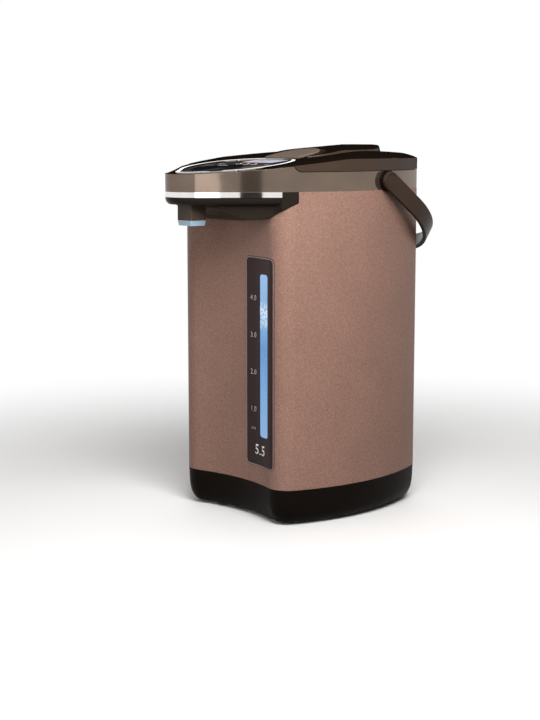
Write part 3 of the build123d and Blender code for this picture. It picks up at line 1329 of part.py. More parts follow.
spring_height = spring_top - SCOOP_FLOOR - 2 * SPRING_WIRE - 0.3
with BuildPart() as latch_spring:
    with BuildLine():
        Helix(spring_height / 4, spring_height, SPRING_RADIUS - SPRING_WIRE,
              center=(0, SPRING_Y, SCOOP_FLOOR + SPRING_WIRE))
    with BuildSketch(Plane(origin=(SPRING_RADIUS - SPRING_WIRE, SPRING_Y, SCOOP_FLOOR + SPRING_WIRE),
                           z_dir=(0, 1, 0))):
        Circle(SPRING_WIRE)
    sweep(is_frenet=True)
save(latch_spring, "latch_spring")

# ---------------------------------------------------------------- carry handle
BOSS_RADIUS, BOSS_FACE_X, BOSS_INNER_X = 9.8, 93.7, 83.0
BOSS_ROOT_X = 88.0       # where the disc has reached the curved wall all round
eye_radius = HANDLE_WIDTH / 2
pin_head_x = HANDLE_INNER_X + HANDLE_STRAP - 1.2

with BuildPart() as handle_bosses:
    for side in (-1, 1):
        with BuildSketch(Plane.YZ.offset(side * BOSS_FACE_X)):
            with Locations((HANDLE_Y, HANDLE_Z)):
                Circle(BOSS_RADIUS)
        extrude(amount=-side * (BOSS_FACE_X - BOSS_ROOT_X))
    # the disc lies on the curved wall, the spigot goes through it
    with BuildSketch(Plane.XY.offset(300)):
        add(body_outline(0))
    extrude(amount=60, mode=Mode.SUBTRACT)
    for side in (-1, 1):
        with BuildSketch(Plane.YZ.offset(side * BOSS_FACE_X)):
            with Locations((HANDLE_Y, HANDLE_Z)):
                Circle(PIVOT_RADIUS + 2)
        extrude(amount=-side * (BOSS_FACE_X - BOSS_INNER_X))
    with BuildSketch(Plane.YZ.offset(-FAR)):
        with Locations((HANDLE_Y, HANDLE_Z)):
            Circle(PIVOT_RADIUS)
    extrude(amount=2 * FAR, mode=Mode.SUBTRACT)
save(handle_bosses, "handle_bosses")

# In this plane, X is across and Y runs along the arms at rest
handle_plane = Plane(
    origin=(0, HANDLE_Y, HANDLE_Z), x_dir=(1, 0, 0),
    z_dir=(0, sin(radians(HANDLE_DROP)), cos(radians(HANDLE_DROP))),
)
strap_outer_x = HANDLE_INNER_X + HANDLE_STRAP
strap_outer_y = HANDLE_REACH + HANDLE_STRAP / 2

with BuildPart() as handle_bail:
    with BuildSketch(handle_plane):
        with Locations((0, strap_outer_y / 2)):
            Rectangle(2 * strap_outer_x, strap_outer_y)
        with Locations((0, (strap_outer_y - HANDLE_STRAP) / 2)):
            Rectangle(2 * HANDLE_INNER_X, strap_outer_y - HANDLE_STRAP, mode=Mode.SUBTRACT)
    extrude(amount=HANDLE_WIDTH / 2, both=True)
    upright = handle_bail.edges().filter_by(Axis(origin=(0, 0, 0), direction=handle_plane.z_dir))
    corners = upright.filter_by(lambda e: e.center().Y > HANDLE_Y + 40).sort_by_distance((0, HANDLE_Y, HANDLE_Z))
    fillet(corners[:2], HANDLE_CORNER - HANDLE_STRAP / 2)
    fillet(corners[2:], HANDLE_CORNER + HANDLE_STRAP / 2)
    # round eyes at the pivots
    for side in (-1, 1):
        with BuildSketch(Plane.YZ.offset(side * HANDLE_INNER_X)):
            with Locations((HANDLE_Y, HANDLE_Z)):
                Circle(eye_radius)
        extrude(amount=side * HANDLE_STRAP)
        with BuildSketch(Plane.YZ.offset(side * (pin_head_x - 0.3))):
            with Locations((HANDLE_Y, HANDLE_Z)):
                Circle(PIVOT_RADIUS + 2.3)
        extrude(amount=side * HANDLE_STRAP, mode=Mode.SUBTRACT)
    with BuildSketch(Plane.YZ.offset(-FAR)):
        with Locations((HANDLE_Y, HANDLE_Z)):
            Circle(PIVOT_RADIUS + 0.05)
    extrude(amount=2 * FAR, mode=Mode.SUBTRACT)
save(handle_bail, "handle_bail")

GRIP_LENGTH, GRIP_WIDTH, GRIP_THICKNESS = 66.0, 20.0, 5.0
with BuildPart() as handle_grip:
    with BuildSketch(handle_plane):
        with Locations((0, HANDLE_REACH + 1.5)):
            Rectangle(GRIP_LENGTH, GRIP_THICKNESS)
    extrude(amount=GRIP_WIDTH / 2, both=True)
    fillet(handle_grip.edges().filter_by(Axis.X), 2)
    add(handle_bail.part, mode=Mode.SUBTRACT)
save(handle_grip, "handle_grip")

with BuildPart() as handle_pivots:
    for side in (-1, 1):
        with BuildSketch(Plane.YZ.offset(side * BOSS_INNER_X)):
            with Locations((HANDLE_Y, HANDLE_Z)):
                Circle(PIVOT_RADIUS)
        extrude(amount=side * (pin_head_x - BOSS_INNER_X))
        with BuildSketch(Plane.YZ.offset(side * pin_head_x)):
            with Locations((HANDLE_Y, HANDLE_Z)):
                Circle(PIVOT_RADIUS + 2.2)
        extrude(amount=side * 1.2)
save(handle_pivots, "handle_pivots")
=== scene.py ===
"""Looks of the electric thermo pot: the finish of every piece, the printed scale and legends,
the lit gauge and display, and the studio round it.  Metres, in the frame of the solids."""

import json
from math import radians

import bpy
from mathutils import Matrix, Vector

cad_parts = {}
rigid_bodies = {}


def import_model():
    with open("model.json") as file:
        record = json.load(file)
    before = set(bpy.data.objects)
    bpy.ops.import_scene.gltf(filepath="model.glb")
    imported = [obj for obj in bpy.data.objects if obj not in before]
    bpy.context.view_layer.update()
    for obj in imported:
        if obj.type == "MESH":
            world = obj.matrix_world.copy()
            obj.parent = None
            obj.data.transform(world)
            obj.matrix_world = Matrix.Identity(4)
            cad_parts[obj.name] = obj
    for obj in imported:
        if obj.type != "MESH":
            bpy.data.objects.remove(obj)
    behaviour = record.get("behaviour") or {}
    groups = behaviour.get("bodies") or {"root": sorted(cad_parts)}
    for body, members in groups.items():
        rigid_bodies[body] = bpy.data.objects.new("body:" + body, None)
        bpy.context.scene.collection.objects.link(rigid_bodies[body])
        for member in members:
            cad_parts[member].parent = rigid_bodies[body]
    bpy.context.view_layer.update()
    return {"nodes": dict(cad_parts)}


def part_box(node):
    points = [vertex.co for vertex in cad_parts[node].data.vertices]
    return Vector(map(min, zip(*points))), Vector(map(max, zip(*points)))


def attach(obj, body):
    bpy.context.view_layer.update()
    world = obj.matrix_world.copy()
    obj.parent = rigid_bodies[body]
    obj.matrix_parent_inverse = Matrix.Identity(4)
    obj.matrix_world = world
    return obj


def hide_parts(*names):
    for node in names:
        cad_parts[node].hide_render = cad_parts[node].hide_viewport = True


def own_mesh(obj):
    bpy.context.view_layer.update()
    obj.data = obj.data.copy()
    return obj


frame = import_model()
solids = frame["nodes"]
MM = 0.001

# ---------------------------------------------------------------- palette
COPPER = (0.300, 0.172, 0.132)
TAUPE = (0.170, 0.126, 0.098)
LATCH_TAUPE = (0.130, 0.098, 0.078)
SPOUT_BROWN = (0.062, 0.042, 0.030)
LID_SIDE = (0.046, 0.029, 0.020)
# painted shade: the darker colour laid on the faces of the head and lid that face up
TOP_PAINTED_SHADE = (0.007, 0.0045, 0.003)
HANDLE_BROWN = (0.036, 0.022, 0.015)
BOWL_BROWN = (0.016, 0.011, 0.008)
NEAR_BLACK = (0.006, 0.004, 0.003)
PLUM_GREY = (0.038, 0.021, 0.021)
PANEL_GREY = (0.030, 0.025, 0.025)
KEY_GREY = (0.055, 0.047, 0.047)
GRAINED_BLACK = (0.022, 0.020, 0.019)
RUBBER_BLACK = (0.02, 0.02, 0.02)
STAND_BLACK = (0.008, 0.008, 0.008)
OFF_WHITE = (0.66, 0.63, 0.58)
ZINC = (0.56, 0.56, 0.58)
STAINLESS = (0.62, 0.61, 0.60)
BRASS = (0.72, 0.50, 0.20)
BRIGHT_SILVER = (0.86, 0.83, 0.81)
SMOKED_SILVER = (0.36, 0.34, 0.33)
LIGHT_BAR_BLUE = (0.30, 0.52, 0.90)
SPOUT_LIGHT_BLUE = (0.34, 0.50, 0.60)
LAMP_AMBER = (0.85, 0.34, 0.10)
FLOAT_RED = (0.55, 0.04, 0.03)
# painted glow of the gauge window's light on the lacquer round it
PAINTED_GLOW_BLUE = (0.012, 0.035, 0.080)
FOAM_WHITE = (0.66, 0.78, 0.90)
BUBBLE_BLUE = (0.40, 0.56, 0.78)
# the lit column of the gauge, from its foot to its top
WATER_BLUES = ((0.0, (0.24, 0.43, 0.72)), (0.30, (0.17, 0.36, 0.66)), (0.55, (0.11, 0.28, 0.58)),
               (0.68, (0.18, 0.37, 0.66)), (1.0, (0.28, 0.46, 0.72)))
PALE_INK, BRIGHT_INK = (0.66, 0.64, 0.64), (0.86, 0.85, 0.84)
# the second colour is a painted highlight for the rim of the gauge panel
DIGIT_INK, EDGE_HIGHLIGHT_PAINT = (0.035, 0.033, 0.045), (0.30, 0.22, 0.19)


# ---------------------------------------------------------------- finishes
class Finish:
    """A material being mixed: a Principled shader and the nodes that vary it over the piece."""

    def __init__(self, name, **sockets):
        self.material = bpy.data.materials.new(name)
        self.material.use_nodes = True
        self.tree = self.material.node_tree
        self.shader = self.tree.nodes["Principled BSDF"]
        self.place = self.add("ShaderNodeTexCoord").outputs["Object"]
        for label, value in sockets.items():
            self.set(label.replace("_", " ").title().replace("Ior", "IOR"), value)

    def add(self, kind, **values):
        node = self.tree.nodes.new(kind)
        for label, value in values.items():
            node.inputs[label.replace("_", " ").title()].default_value = value
        return node

    def join(self, source, target):
        self.tree.links.new(source, target)

    def set(self, socket, value):
        """A number or colour that is the same all over goes straight on the shader."""
        if isinstance(value, tuple) and len(value) == 3:
            value = (*value, 1)
        self.shader.inputs[socket].default_value = value

    def stretched(self, x, y, z):
        """Object coordinates, drawn out along an axis by a small factor."""
        mapping = self.add("ShaderNodeMapping", scale=(x, y, z))
        self.join(self.place, mapping.inputs["Vector"])
        return mapping.outputs["Vector"]

    def noise(self, size, detail=2.0, where=None):
        """Soft blotches of a real size in metres."""
        node = self.add("ShaderNodeTexNoise", scale=1 / size, detail=detail)
        self.join(where or self.place, node.inputs["Vector"])
        return node.outputs["Fac"]

    def cells(self, size):
        """Round cells of a real size: gives the distance to the middle and a grey for each."""
        node = self.add("ShaderNodeTexVoronoi", scale=1 / size)
        self.join(self.place, node.inputs["Vector"])
        return node.outputs["Distance"], node.outputs["Color"]

    def ramp(self, factor, *stops):
        """Colours or greys at positions from 0 to 1."""
        node = self.add("ShaderNodeValToRGB")
        elements = node.color_ramp.elements
        while len(elements) < len(stops):
            elements.new(0.5)
        for element, (position, colour) in zip(elements, stops):
            element.position = position
            grey = not isinstance(colour, tuple)
            element.color = (colour, colour, colour, 1) if grey else (*colour, 1)
        self.join(factor, node.inputs["Fac"])
        return node.outputs["Color"]

    def spread(self, factor, low, high):
        """A value from 0 to 1 turned into one from low to high."""
        node = self.add("ShaderNodeMapRange", to_min=low, to_max=high)
        self.join(factor, node.inputs["Value"])
        return node.outputs["Result"]

    def between(self, source, start, end, interpolation="LINEAR"):
        """0 where the source is at start, 1 where it is at end."""
        node = self.add("ShaderNodeMapRange", from_min=start, from_max=end)
        node.interpolation_type = interpolation
        self.join(source, node.inputs["Value"])
        return node.outputs["Result"]

    def along(self, axis):
        """The place along X, Y or Z."""
        split = self.add("ShaderNodeSeparateXYZ")
        self.join(self.place, split.inputs["Vector"])
        return split.outputs[axis]

    def calculate(self, operation, first, second=None):
        """One step of arithmetic on an output, with a number or another output."""
        node = self.add("ShaderNodeMath")
        node.operation = operation
        self.join(first, node.inputs[0])
        if isinstance(second, float):
            node.inputs[1].default_value = second
        elif second is not None:
            self.join(second, node.inputs[1])
        return node.outputs[0]

    def blend(self, factor, first, second, mode="MIX"):
        """Two colours mixed by a factor, which is a number or an output."""
        node = self.add("ShaderNodeMix")
        node.data_type = "RGBA"
        node.blend_type = mode
        if isinstance(factor, float):
            node.inputs[0].default_value = factor
        else:
            self.join(factor, node.inputs[0])
        for socket, colour in ((node.inputs[6], first), (node.inputs[7], second)):
            if isinstance(colour, tuple):
                socket.default_value = (*colour, 1)
            else:
                self.join(colour, socket)
        return node.outputs[2]

    def height(self, source, depth, strength=1.0):
        """Surface relief from an output, with its depth in metres."""
        node = self.add("ShaderNodeBump", strength=strength, distance=depth)
        self.join(source, node.inputs["Height"])
        self.join(node.outputs["Normal"], self.shader.inputs["Normal"])

    def drive(self, socket, source):
        self.join(source, self.shader.inputs[socket])

    def fade_shine(self, shine):
        """Full shine where the surface faces the eye, none where it is seen edge on."""
        turned = self.add("ShaderNodeLayerWeight", blend=0.5)
        self.drive("Specular IOR Level", self.ramp(turned.outputs["Facing"], (0.45, shine), (0.75, 0.0)))


def lighter(colour, factor):
    """The same hue, brighter for a factor above 1 and darker below it."""
    return tuple(min(1.0, channel * factor) for channel in colour)


def sparkle_paint():
    """Copper-brown metallic paint with a fine sparkle."""
    finish = Finish("copper_sparkle_paint", metallic=0.15, specular_ior_level=0.1)
    distance, flake = finish.cells(0.6 * MM)
    grains = finish.ramp(flake, (0.0, lighter(COPPER, 0.72)), (0.4, lighter(COPPER, 0.95)),
                         (0.75, lighter(COPPER, 1.08)), (0.95, lighter(COPPER, 1.3)), (1.0, lighter(COPPER, 2.0)))
    mottle = finish.ramp(finish.noise(1.6 * MM, 3), (0.32, 0.86), (0.68, 1.06))
    clouds = finish.ramp(finish.noise(45 * MM, 3), (0.3, 0.92), (0.7, 1.0))
    toned = finish.blend(1.0, grains, mottle, "MULTIPLY")
    finish.drive("Base Color", finish.blend(1.0, toned, clouds, "MULTIPLY"))
    finish.drive("Roughness", finish.spread(finish.noise(1.0 * MM), 0.36, 0.54))
    finish.height(finish.noise(0.9 * MM, 3), 0.05 * MM, 0.5)
    return finish.material


def gloss_moulding(name, shade, roughness, shine, pearl=0.0, orange_peel=0.02, matt_rim=False, painted_shade_top=None):
    """Lacquered plastic: slow drift of tone, fine pearl flakes and a faint orange peel.
    With matt_rim the shine dies away where the surface turns out of sight, as on a textured lid.
    With a top colour given, the faces marked as facing up take it instead, as painted shade, and lose their pearl."""
    finish = Finish(name, specular_ior_level=shine, metallic=pearl)
    drift = finish.ramp(finish.noise(30 * MM, 4), (0.3, lighter(shade, 0.9)), (0.7, lighter(shade, 1.1)))
    if painted_shade_top:
        # painted shade: the faces that face up take the darker top colour
        facing_up = finish.add("ShaderNodeAttribute")
        facing_up.attribute_name = "faces_up"
        drift = finish.blend(facing_up.outputs["Fac"], drift, painted_shade_top)
        finish.drive("Metallic", finish.spread(facing_up.outputs["Fac"], pearl, 0.0))
    if matt_rim:
        finish.fade_shine(shine)
    flakes, tones = finish.cells(0.35 * MM)
    pearls = finish.ramp(tones, (0.0, 0.9), (0.9, 1.05), (1.0, 1.35))
    finish.drive("Base Color", finish.blend(1.0, drift, pearls, "MULTIPLY"))
    finish.drive("Roughness", finish.spread(finish.noise(6 * MM, 5), roughness * 0.8, roughness * 1.3))
    finish.height(finish.noise(4 * MM, 1), orange_peel * MM, 0.5)
    return finish.material


def grained_plastic(name, shade, roughness=0.55, grain=0.5):
    """Spark-eroded matt plastic: fine leathery grain."""
    finish = Finish(name)
    distance, cell = finish.cells(grain * MM)
    drift = finish.noise(25 * MM, 4)
    finish.drive("Base Color", finish.ramp(drift, (0.3, lighter(shade, 0.85)), (0.7, lighter(shade, 1.12))))
    finish.drive("Roughness", finish.spread(finish.noise(3 * MM, 3), roughness - 0.08, roughness + 0.1))
    finish.height(distance, 0.06 * MM, 0.6)
    return finish.material


def brushed_metal(name, shade, roughness=0.3, along="z"):
    """Steel with drawing lines along one axis."""
    finish = Finish(name, metallic=1.0)
    thin, long = 1 / (0.25 * MM), 1 / (60 * MM)
    scale = {"x": (long, thin, thin), "y": (thin, long, thin), "z": (thin, thin, long)}[along]
    lines = finish.noise(1.0, 3, finish.stretched(*scale))
    finish.drive("Base Color", finish.ramp(lines, (0.3, lighter(shade, 0.82)), (0.7, lighter(shade, 1.08))))
    finish.drive("Roughness", finish.spread(lines, roughness - 0.1, roughness + 0.12))
    finish.height(lines, 0.02 * MM, 0.4)
    return finish.material


def polished_trim(name, silver):
    """Vacuum-metallised bright trim with a trace of haze."""
    finish = Finish(name, metallic=1.0)
    haze = finish.noise(8 * MM, 5)
    finish.drive("Base Color", finish.ramp(haze, (0.3, lighter(silver, 0.9)), (0.7, silver)))
    finish.drive("Roughness", finish.spread(haze, 0.015, 0.035))
    return finish.material


def soft_rubber(name, shade):
    """Matt rubber or cloth with a little dust in it."""
    finish = Finish(name, sheen_weight=0.2)
    dust = finish.noise(5 * MM, 6)
    finish.drive("Base Color", finish.ramp(dust, (0.35, shade), (0.75, lighter(shade, 1.4))))
    finish.drive("Roughness", finish.spread(dust, 0.6, 0.85))
    finish.height(finish.noise(0.6 * MM), 0.05 * MM, 0.5)
    return finish.material


def clear_silicone():
    """Milky silicone of the seals and hoses."""
    finish = Finish("milky_silicone", transmission_weight=0.35, ior=1.41)
    milk = finish.noise(10 * MM, 3)
    finish.drive("Base Color", finish.ramp(milk, (0.3, (0.80, 0.79, 0.76)), (0.7, (0.92, 0.91, 0.89))))
    finish.drive("Roughness", finish.spread(milk, 0.25, 0.45))
    return finish.material


def felt():
    """Pale felt with upright fibres, wrapped round the tank."""
    finish = Finish("insulation_felt", sheen_weight=0.5)
    fibres = finish.noise(1.0, 5, finish.stretched(900, 900, 160))
    finish.drive("Base Color", finish.ramp(fibres, (0.3, (0.66, 0.63, 0.57)), (0.7, (0.86, 0.84, 0.79))))
    finish.drive("Roughness", finish.spread(fibres, 0.85, 0.98))
    finish.height(fibres, 0.5 * MM)
    return finish.material


def mica():
    """Flaky mica sheet of the heater band."""
    finish = Finish("mica_band")
    flakes, tone = finish.cells(5 * MM)
    finish.drive("Base Color", finish.ramp(tone, (0.1, (0.48, 0.38, 0.22)), (0.9, (0.72, 0.62, 0.44))))
    finish.drive("Roughness", finish.spread(finish.noise(4 * MM), 0.35, 0.6))
    finish.height(flakes, 0.1 * MM, 0.4)
    return finish.material


def circuit_board():
    """Green solder mask with darker tracks."""
    finish = Finish("circuit_board", coat_weight=0.3)
    distance, tracks = finish.cells(3 * MM)
    finish.drive("Base Color", finish.ramp(tracks, (0.4, (0.012, 0.10, 0.035)), (0.6, (0.03, 0.22, 0.08))))
    finish.drive("Roughness", finish.spread(finish.noise(2 * MM), 0.3, 0.5))
    finish.height(distance, 0.05 * MM, 0.4)
    return finish.material


def sintered_magnet():
    """Dark gritty ferrite."""
    finish = Finish("ferrite_magnet", metallic=0.3)
    grit = finish.noise(0.7 * MM, 5)
    finish.drive("Base Color", finish.ramp(grit, (0.3, (0.03, 0.03, 0.032)), (0.8, (0.10, 0.10, 0.105))))
    finish.drive("Roughness", finish.spread(grit, 0.45, 0.75))
    finish.height(grit, 0.1 * MM, 0.6)
    return finish.material


def lit_water(window):
    """The blue lit column of the gauge: paler at the ends, a churned white patch and small bubbles."""
    low, high = window
    finish = Finish("lit_gauge_blue", roughness=0.3, specular_ior_level=0.15)
    rise = finish.between(finish.along("Z"), low.z, high.z)
    column = finish.ramp(rise, *WATER_BLUES)
    surge = finish.ramp(rise, (0.66, 0.0), (0.70, 0.8), (0.79, 1.0), (0.84, 0.0))
    foam = finish.ramp(finish.noise(3 * MM, 4), (0.40, 0.0), (0.56, 1.0))
    churned = finish.blend(1.0, surge, foam, "MULTIPLY")
    colour = finish.blend(churned, column, FOAM_WHITE)
    distance, tone = finish.cells(3.2 * MM)
    bubbles = finish.ramp(distance, (0.10, 1.0), (0.16, 0.0))
    colour = finish.blend(bubbles, colour, BUBBLE_BLUE)
    finish.drive("Base Color", colour)
    finish.drive("Emission Color", colour)
    finish.set("Emission Strength", 0.45)
    return finish.material


def gauge_lacquer(window):
    """Plum-brown lacquer, with a painted glow: the blue light of the lit window painted a little way into it."""
    low, high = window
    reach = 2.4 * MM
    finish = Finish("plum_gauge_gloss", specular_ior_level=0.05)
    nearness = []
    for axis, start, end in (("X", low.x, high.x), ("Z", low.z, high.z)):
        middle, half = (start + end) / 2, (end - start) / 2
        away = finish.calculate("ABSOLUTE", finish.calculate("SUBTRACT", finish.along(axis), middle))
        nearness.append(finish.between(away, half + reach, half - reach / 2))
    # painted glow: blue laid on the lacquer close to the window, fading outwards
    painted_glow = finish.blend(1.0, *nearness, "MULTIPLY")
    drift = finish.ramp(finish.noise(20 * MM, 4), (0.3, lighter(PLUM_GREY, 0.92)), (0.7, lighter(PLUM_GREY, 1.08)))
    finish.drive("Base Color", finish.blend(painted_glow, drift, PAINTED_GLOW_BLUE))
    finish.drive("Roughness", finish.spread(finish.noise(6 * MM, 5), 0.24, 0.36))
    return finish.material


def lit_plastic(name, shade, glow, clear=0.0):
    """Frosted plastic with a lamp behind it."""
    finish = Finish(name, roughness=0.3, coat_weight=0.5, emission_strength=glow, transmission_weight=clear)
    frost = finish.noise(3 * MM, 4)
    colour = finish.ramp(frost, (0.3, lighter(shade, 0.85)), (0.7, lighter(shade, 1.1)))
    finish.drive("Base Color", colour)
    finish.drive("Emission Color", colour)
    finish.height(finish.noise(1.2 * MM), 0.05 * MM, 0.4)
    return finish.material


def clear_tube():
    """Clear sight glass with a thin film of scale."""
    finish = Finish("sight_tube_glass", transmission_weight=0.9, ior=1.47)
    film = finish.noise(12 * MM, 4)
    finish.drive("Base Color", finish.ramp(film, (0.3, (0.82, 0.90, 0.96)), (0.7, (0.94, 0.97, 0.99))))
    finish.drive("Roughness", finish.spread(film, 0.02, 0.10))
    return finish.material


def piano_black():
    """Deep black lens with faint polishing haze."""
    finish = Finish("piano_black_lens")
    finish.fade_shine(0.5)
    haze = finish.noise(18 * MM, 6)
    finish.drive("Base Color", finish.ramp(haze, (0.3, (0.004, 0.004, 0.005)), (0.8, (0.010, 0.009, 0.010))))
    finish.drive("Roughness", finish.spread(haze, 0.08, 0.2))
    return finish.material


def display_pane():
    """Pale lavender-grey display seen through a clear pane."""
    finish = Finish("display_pane", roughness=0.25)
    finish.fade_shine(0.5)
    glow = finish.noise(14 * MM, 3)
    colour = finish.ramp(glow, (0.25, (0.26, 0.25, 0.31)), (0.75, (0.42, 0.40, 0.48)))
    finish.drive("Base Color", colour)
    finish.drive("Emission Color", colour)
    finish.set("Emission Strength", 0.25)
    return finish.material


def print_ink(name, shade):
    """Silk-screened ink, slightly uneven in its tone."""
    finish = Finish(name)
    film = finish.noise(0.8 * MM, 4)
    finish.drive("Base Color", finish.ramp(film, (0.2, lighter(shade, 0.85)), (0.7, shade)))
    finish.drive("Roughness", finish.spread(film, 0.4, 0.6))
    return finish.material


# ---------------------------------------------------------------- finish of each solid
# the head's upward faces carry a painted shade in the dark top colour
head_gloss = gloss_moulding("taupe_head_gloss", TAUPE, roughness=0.04, shine=0.3, pearl=0.8, orange_peel=0.001,
                            matt_rim=True, painted_shade_top=TOP_PAINTED_SHADE)
tongue_gloss = gloss_moulding("taupe_latch_gloss", LATCH_TAUPE, roughness=0.35, shine=0.3, matt_rim=True)
# the lid's top carries a painted shade, darker than its sides
lid_gloss = gloss_moulding("dark_lid_gloss", LID_SIDE, roughness=0.35, shine=0.12, matt_rim=True, painted_shade_top=TOP_PAINTED_SHADE)
handle_satin = gloss_moulding("brown_handle_satin", HANDLE_BROWN, roughness=0.34, shine=0.09)
base_gloss = gloss_moulding("near_black_gloss", NEAR_BLACK, roughness=0.4, shine=0.03)
vent_gloss = gloss_moulding("dark_vent_gloss", NEAR_BLACK, roughness=0.4, shine=0.2, matt_rim=True)
bowl_gloss = gloss_moulding("dark_bowl_gloss", BOWL_BROWN, roughness=0.32, shine=0.07)
spout_gloss = gloss_moulding("brown_spout_gloss", SPOUT_BROWN, roughness=0.3, shine=0.15)
gauge_gloss = gauge_lacquer(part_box("gauge_window"))
panel_gloss = gloss_moulding("panel_lacquer", PANEL_GREY, roughness=0.3, shine=0.2, matt_rim=True)
key_gloss = gloss_moulding("key_lacquer", KEY_GREY, roughness=0.3, shine=0.25, matt_rim=True)
black_grain = grained_plastic("black_grained_plastic", GRAINED_BLACK)
white_moulding = grained_plastic("off_white_moulding", OFF_WHITE, roughness=0.42, grain=0.8)
rubber_feet = soft_rubber("black_foot_rubber", RUBBER_BLACK)
plated_steel = brushed_metal("zinc_plated_steel", ZINC, along="x")
window_blue = lit_water(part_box("gauge_window"))

finishes = {
    sparkle_paint(): ["outer_shell"],
    head_gloss: ["head_housing"],
    tongue_gloss: ["latch_lever"],
    lid_gloss: ["lid_cover"],
    handle_satin: ["handle_bail", "handle_grip", "handle_pivots"],
    base_gloss: ["base_ring", "handle_bosses"],
    vent_gloss: ["steam_vent"],
    bowl_gloss: ["beak_bowl"],
    spout_gloss: ["spout_block"],
    black_grain: ["bottom_cover", "thermostats", "power_inlet", "display_module"],
    gauge_gloss: ["gauge_bezel"],
    panel_gloss: ["control_panel"],
    key_gloss: ["unlock_button", "reboil_button"],
    piano_black(): ["dispense_button"],
    display_pane(): ["display_window"],
    polished_trim("bright_strip_metal", BRIGHT_SILVER): ["beak_strip"],
    polished_trim("smoked_ring_metal", SMOKED_SILVER): ["panel_trim_ring"],
    window_blue: ["gauge_window"],
    lit_plastic("blue_light_bar", LIGHT_BAR_BLUE, 1.0): ["gauge_light"],
    lit_plastic("frosted_spout_light", SPOUT_LIGHT_BLUE, 0.12, clear=0.3): ["spout_tip"],
    lit_plastic("amber_lamp", LAMP_AMBER, 1.2): ["indicator_lamps"],
    lit_plastic("red_float", FLOAT_RED, 0.0): ["gauge_float"],
    clear_tube(): ["gauge_tube"],
    brushed_metal("drawn_stainless", STAINLESS, along="z"): ["inner_tank", "tank_base"],
    plated_steel: ["base_screws", "hinge_pin", "lid_screws", "latch_pin", "latch_spring", "pump_motor"],
    brushed_metal("plated_brass", BRASS, along="y"): ["inlet_pins"],
    mica(): ["heater_band"],
    felt(): ["insulation_sleeve"],
    clear_silicone(): ["tank_seal", "lid_gasket", "inlet_hose", "riser_hose", "outlet_hose"],
    rubber_feet: ["foot_pads"],
    circuit_board(): ["power_board", "control_board"],
    sintered_magnet(): ["drive_magnet"],
    white_moulding: ["tank_support", "pump_housing", "pump_impeller", "mouth_funnel", "mouth_plate", "lid_liner",
                     "steam_tube"],
}
for material, names in finishes.items():
    for name in names:
        for slot in solids[name].material_slots:
            slot.material = material


# ---------------------------------------------------------------- small tools of the bench
CAPITAL_SHARE = 0.7       # height of a capital in a text of size 1
LETTER_SPACING = 1.12
UPWARD_NORMAL = 0.75      # a face whose normal rises more than this counts as facing up
WELD_DISTANCE = 0.005 * MM
FLAT_WITHIN = 0.4         # degrees between faces that are taken as one
EASING_STEPS = 2


def deselect():
    """Back to object mode, with nothing selected."""
    if bpy.context.object and bpy.context.object.mode == "EDIT":
        bpy.ops.object.mode_set(mode="OBJECT")
    bpy.ops.object.select_all(action="DESELECT")


def take_up(piece):
    """Makes the piece the only one selected, and the active one."""
    deselect()
    piece.select_set(True)
    bpy.context.view_layer.objects.active = piece


def settle(piece):
    """Puts the piece's place into its mesh."""
    take_up(piece)
    bpy.ops.object.transform_apply(location=True, rotation=True, scale=True)


def modify(piece, kind, **settings):
    """Adds a modifier and applies it at once."""
    take_up(piece)
    modifier = piece.modifiers.new(kind.lower(), kind)
    for label, value in settings.items():
        setattr(modifier, label, value)
    bpy.ops.object.modifier_apply(modifier=modifier.name)


def hand_over(piece, name, body, material):
    """Names a finished piece, dresses it and hangs it on its body."""
    piece.name = name
    piece.data.name = name
    piece.data.materials.clear()
    piece.data.materials.append(material)
    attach(piece, body)
    return piece


def press_onto(piece, target, direction, rise, thickness):
    """Lays a flat piece on a surface, cast along a direction such as -z, and gives it a film's thickness."""
    sign, axis = direction
    modify(piece, "SHRINKWRAP", target=target, wrap_method="PROJECT", offset=rise,
           use_project_x=axis == "x", use_project_y=axis == "y", use_project_z=axis == "z",
           use_positive_direction=sign == "+", use_negative_direction=sign == "-")
    modify(piece, "SOLIDIFY", thickness=thickness, offset=0)


def print_text(words, height, spot, facing, boldness=0.0):
    """Lettering as a flat mesh, upright on the front or lying on the top."""
    deselect()
    bpy.ops.object.text_add(location=(0, 0, 0))
    text = bpy.context.object
    text.data.body = words
    text.data.size = height / CAPITAL_SHARE
    text.data.offset = boldness
    text.data.space_character = LETTER_SPACING
    text.data.align_x = "CENTER"
    text.data.align_y = "CENTER"
    text.data.resolution_u = 4
    bpy.ops.object.convert(target="MESH")
    piece = bpy.context.object
    if facing == "front":
        piece.rotation_euler = (radians(90), 0, 0)
    piece.location = spot
    settle(piece)
    return piece


def eased(name, width, body, slot_name, material, angle=32):
    """The same moulding with its edges sharper than angle rounded over: stands in for the solid."""
    take_up(solids[name])
    bpy.ops.object.duplicate()
    piece = bpy.context.object
    bpy.ops.object.parent_clear(type="CLEAR_KEEP_TRANSFORM")
    bpy.ops.object.transform_apply(location=True, rotation=True, scale=True)
    bpy.ops.object.mode_set(mode="EDIT")
    bpy.ops.mesh.select_all(action="SELECT")
    bpy.ops.mesh.remove_doubles(threshold=WELD_DISTANCE)
    bpy.ops.mesh.dissolve_limited(angle_limit=radians(FLAT_WITHIN))
    bpy.ops.object.mode_set(mode="OBJECT")
    modify(piece, "BEVEL", width=width, segments=EASING_STEPS, limit_method="ANGLE", angle_limit=radians(angle),
           use_clamp_overlap=True, harden_normals=False)
    bpy.ops.object.shade_smooth_by_angle(angle=radians(angle))
    modify(piece, "WEIGHTED_NORMAL", keep_sharp=True, weight=80)
    # marks the faces that face up, where the head and lid finishes lay their painted shade
    faces_up = piece.data.attributes.new("faces_up", "FLOAT", "FACE")
    for face in piece.data.polygons:
        faces_up.data[face.index].value = 1.0 if face.normal.z > UPWARD_NORMAL else 0.0
    hand_over(piece, name + "_eased", body, material)
    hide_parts(name)
    return piece


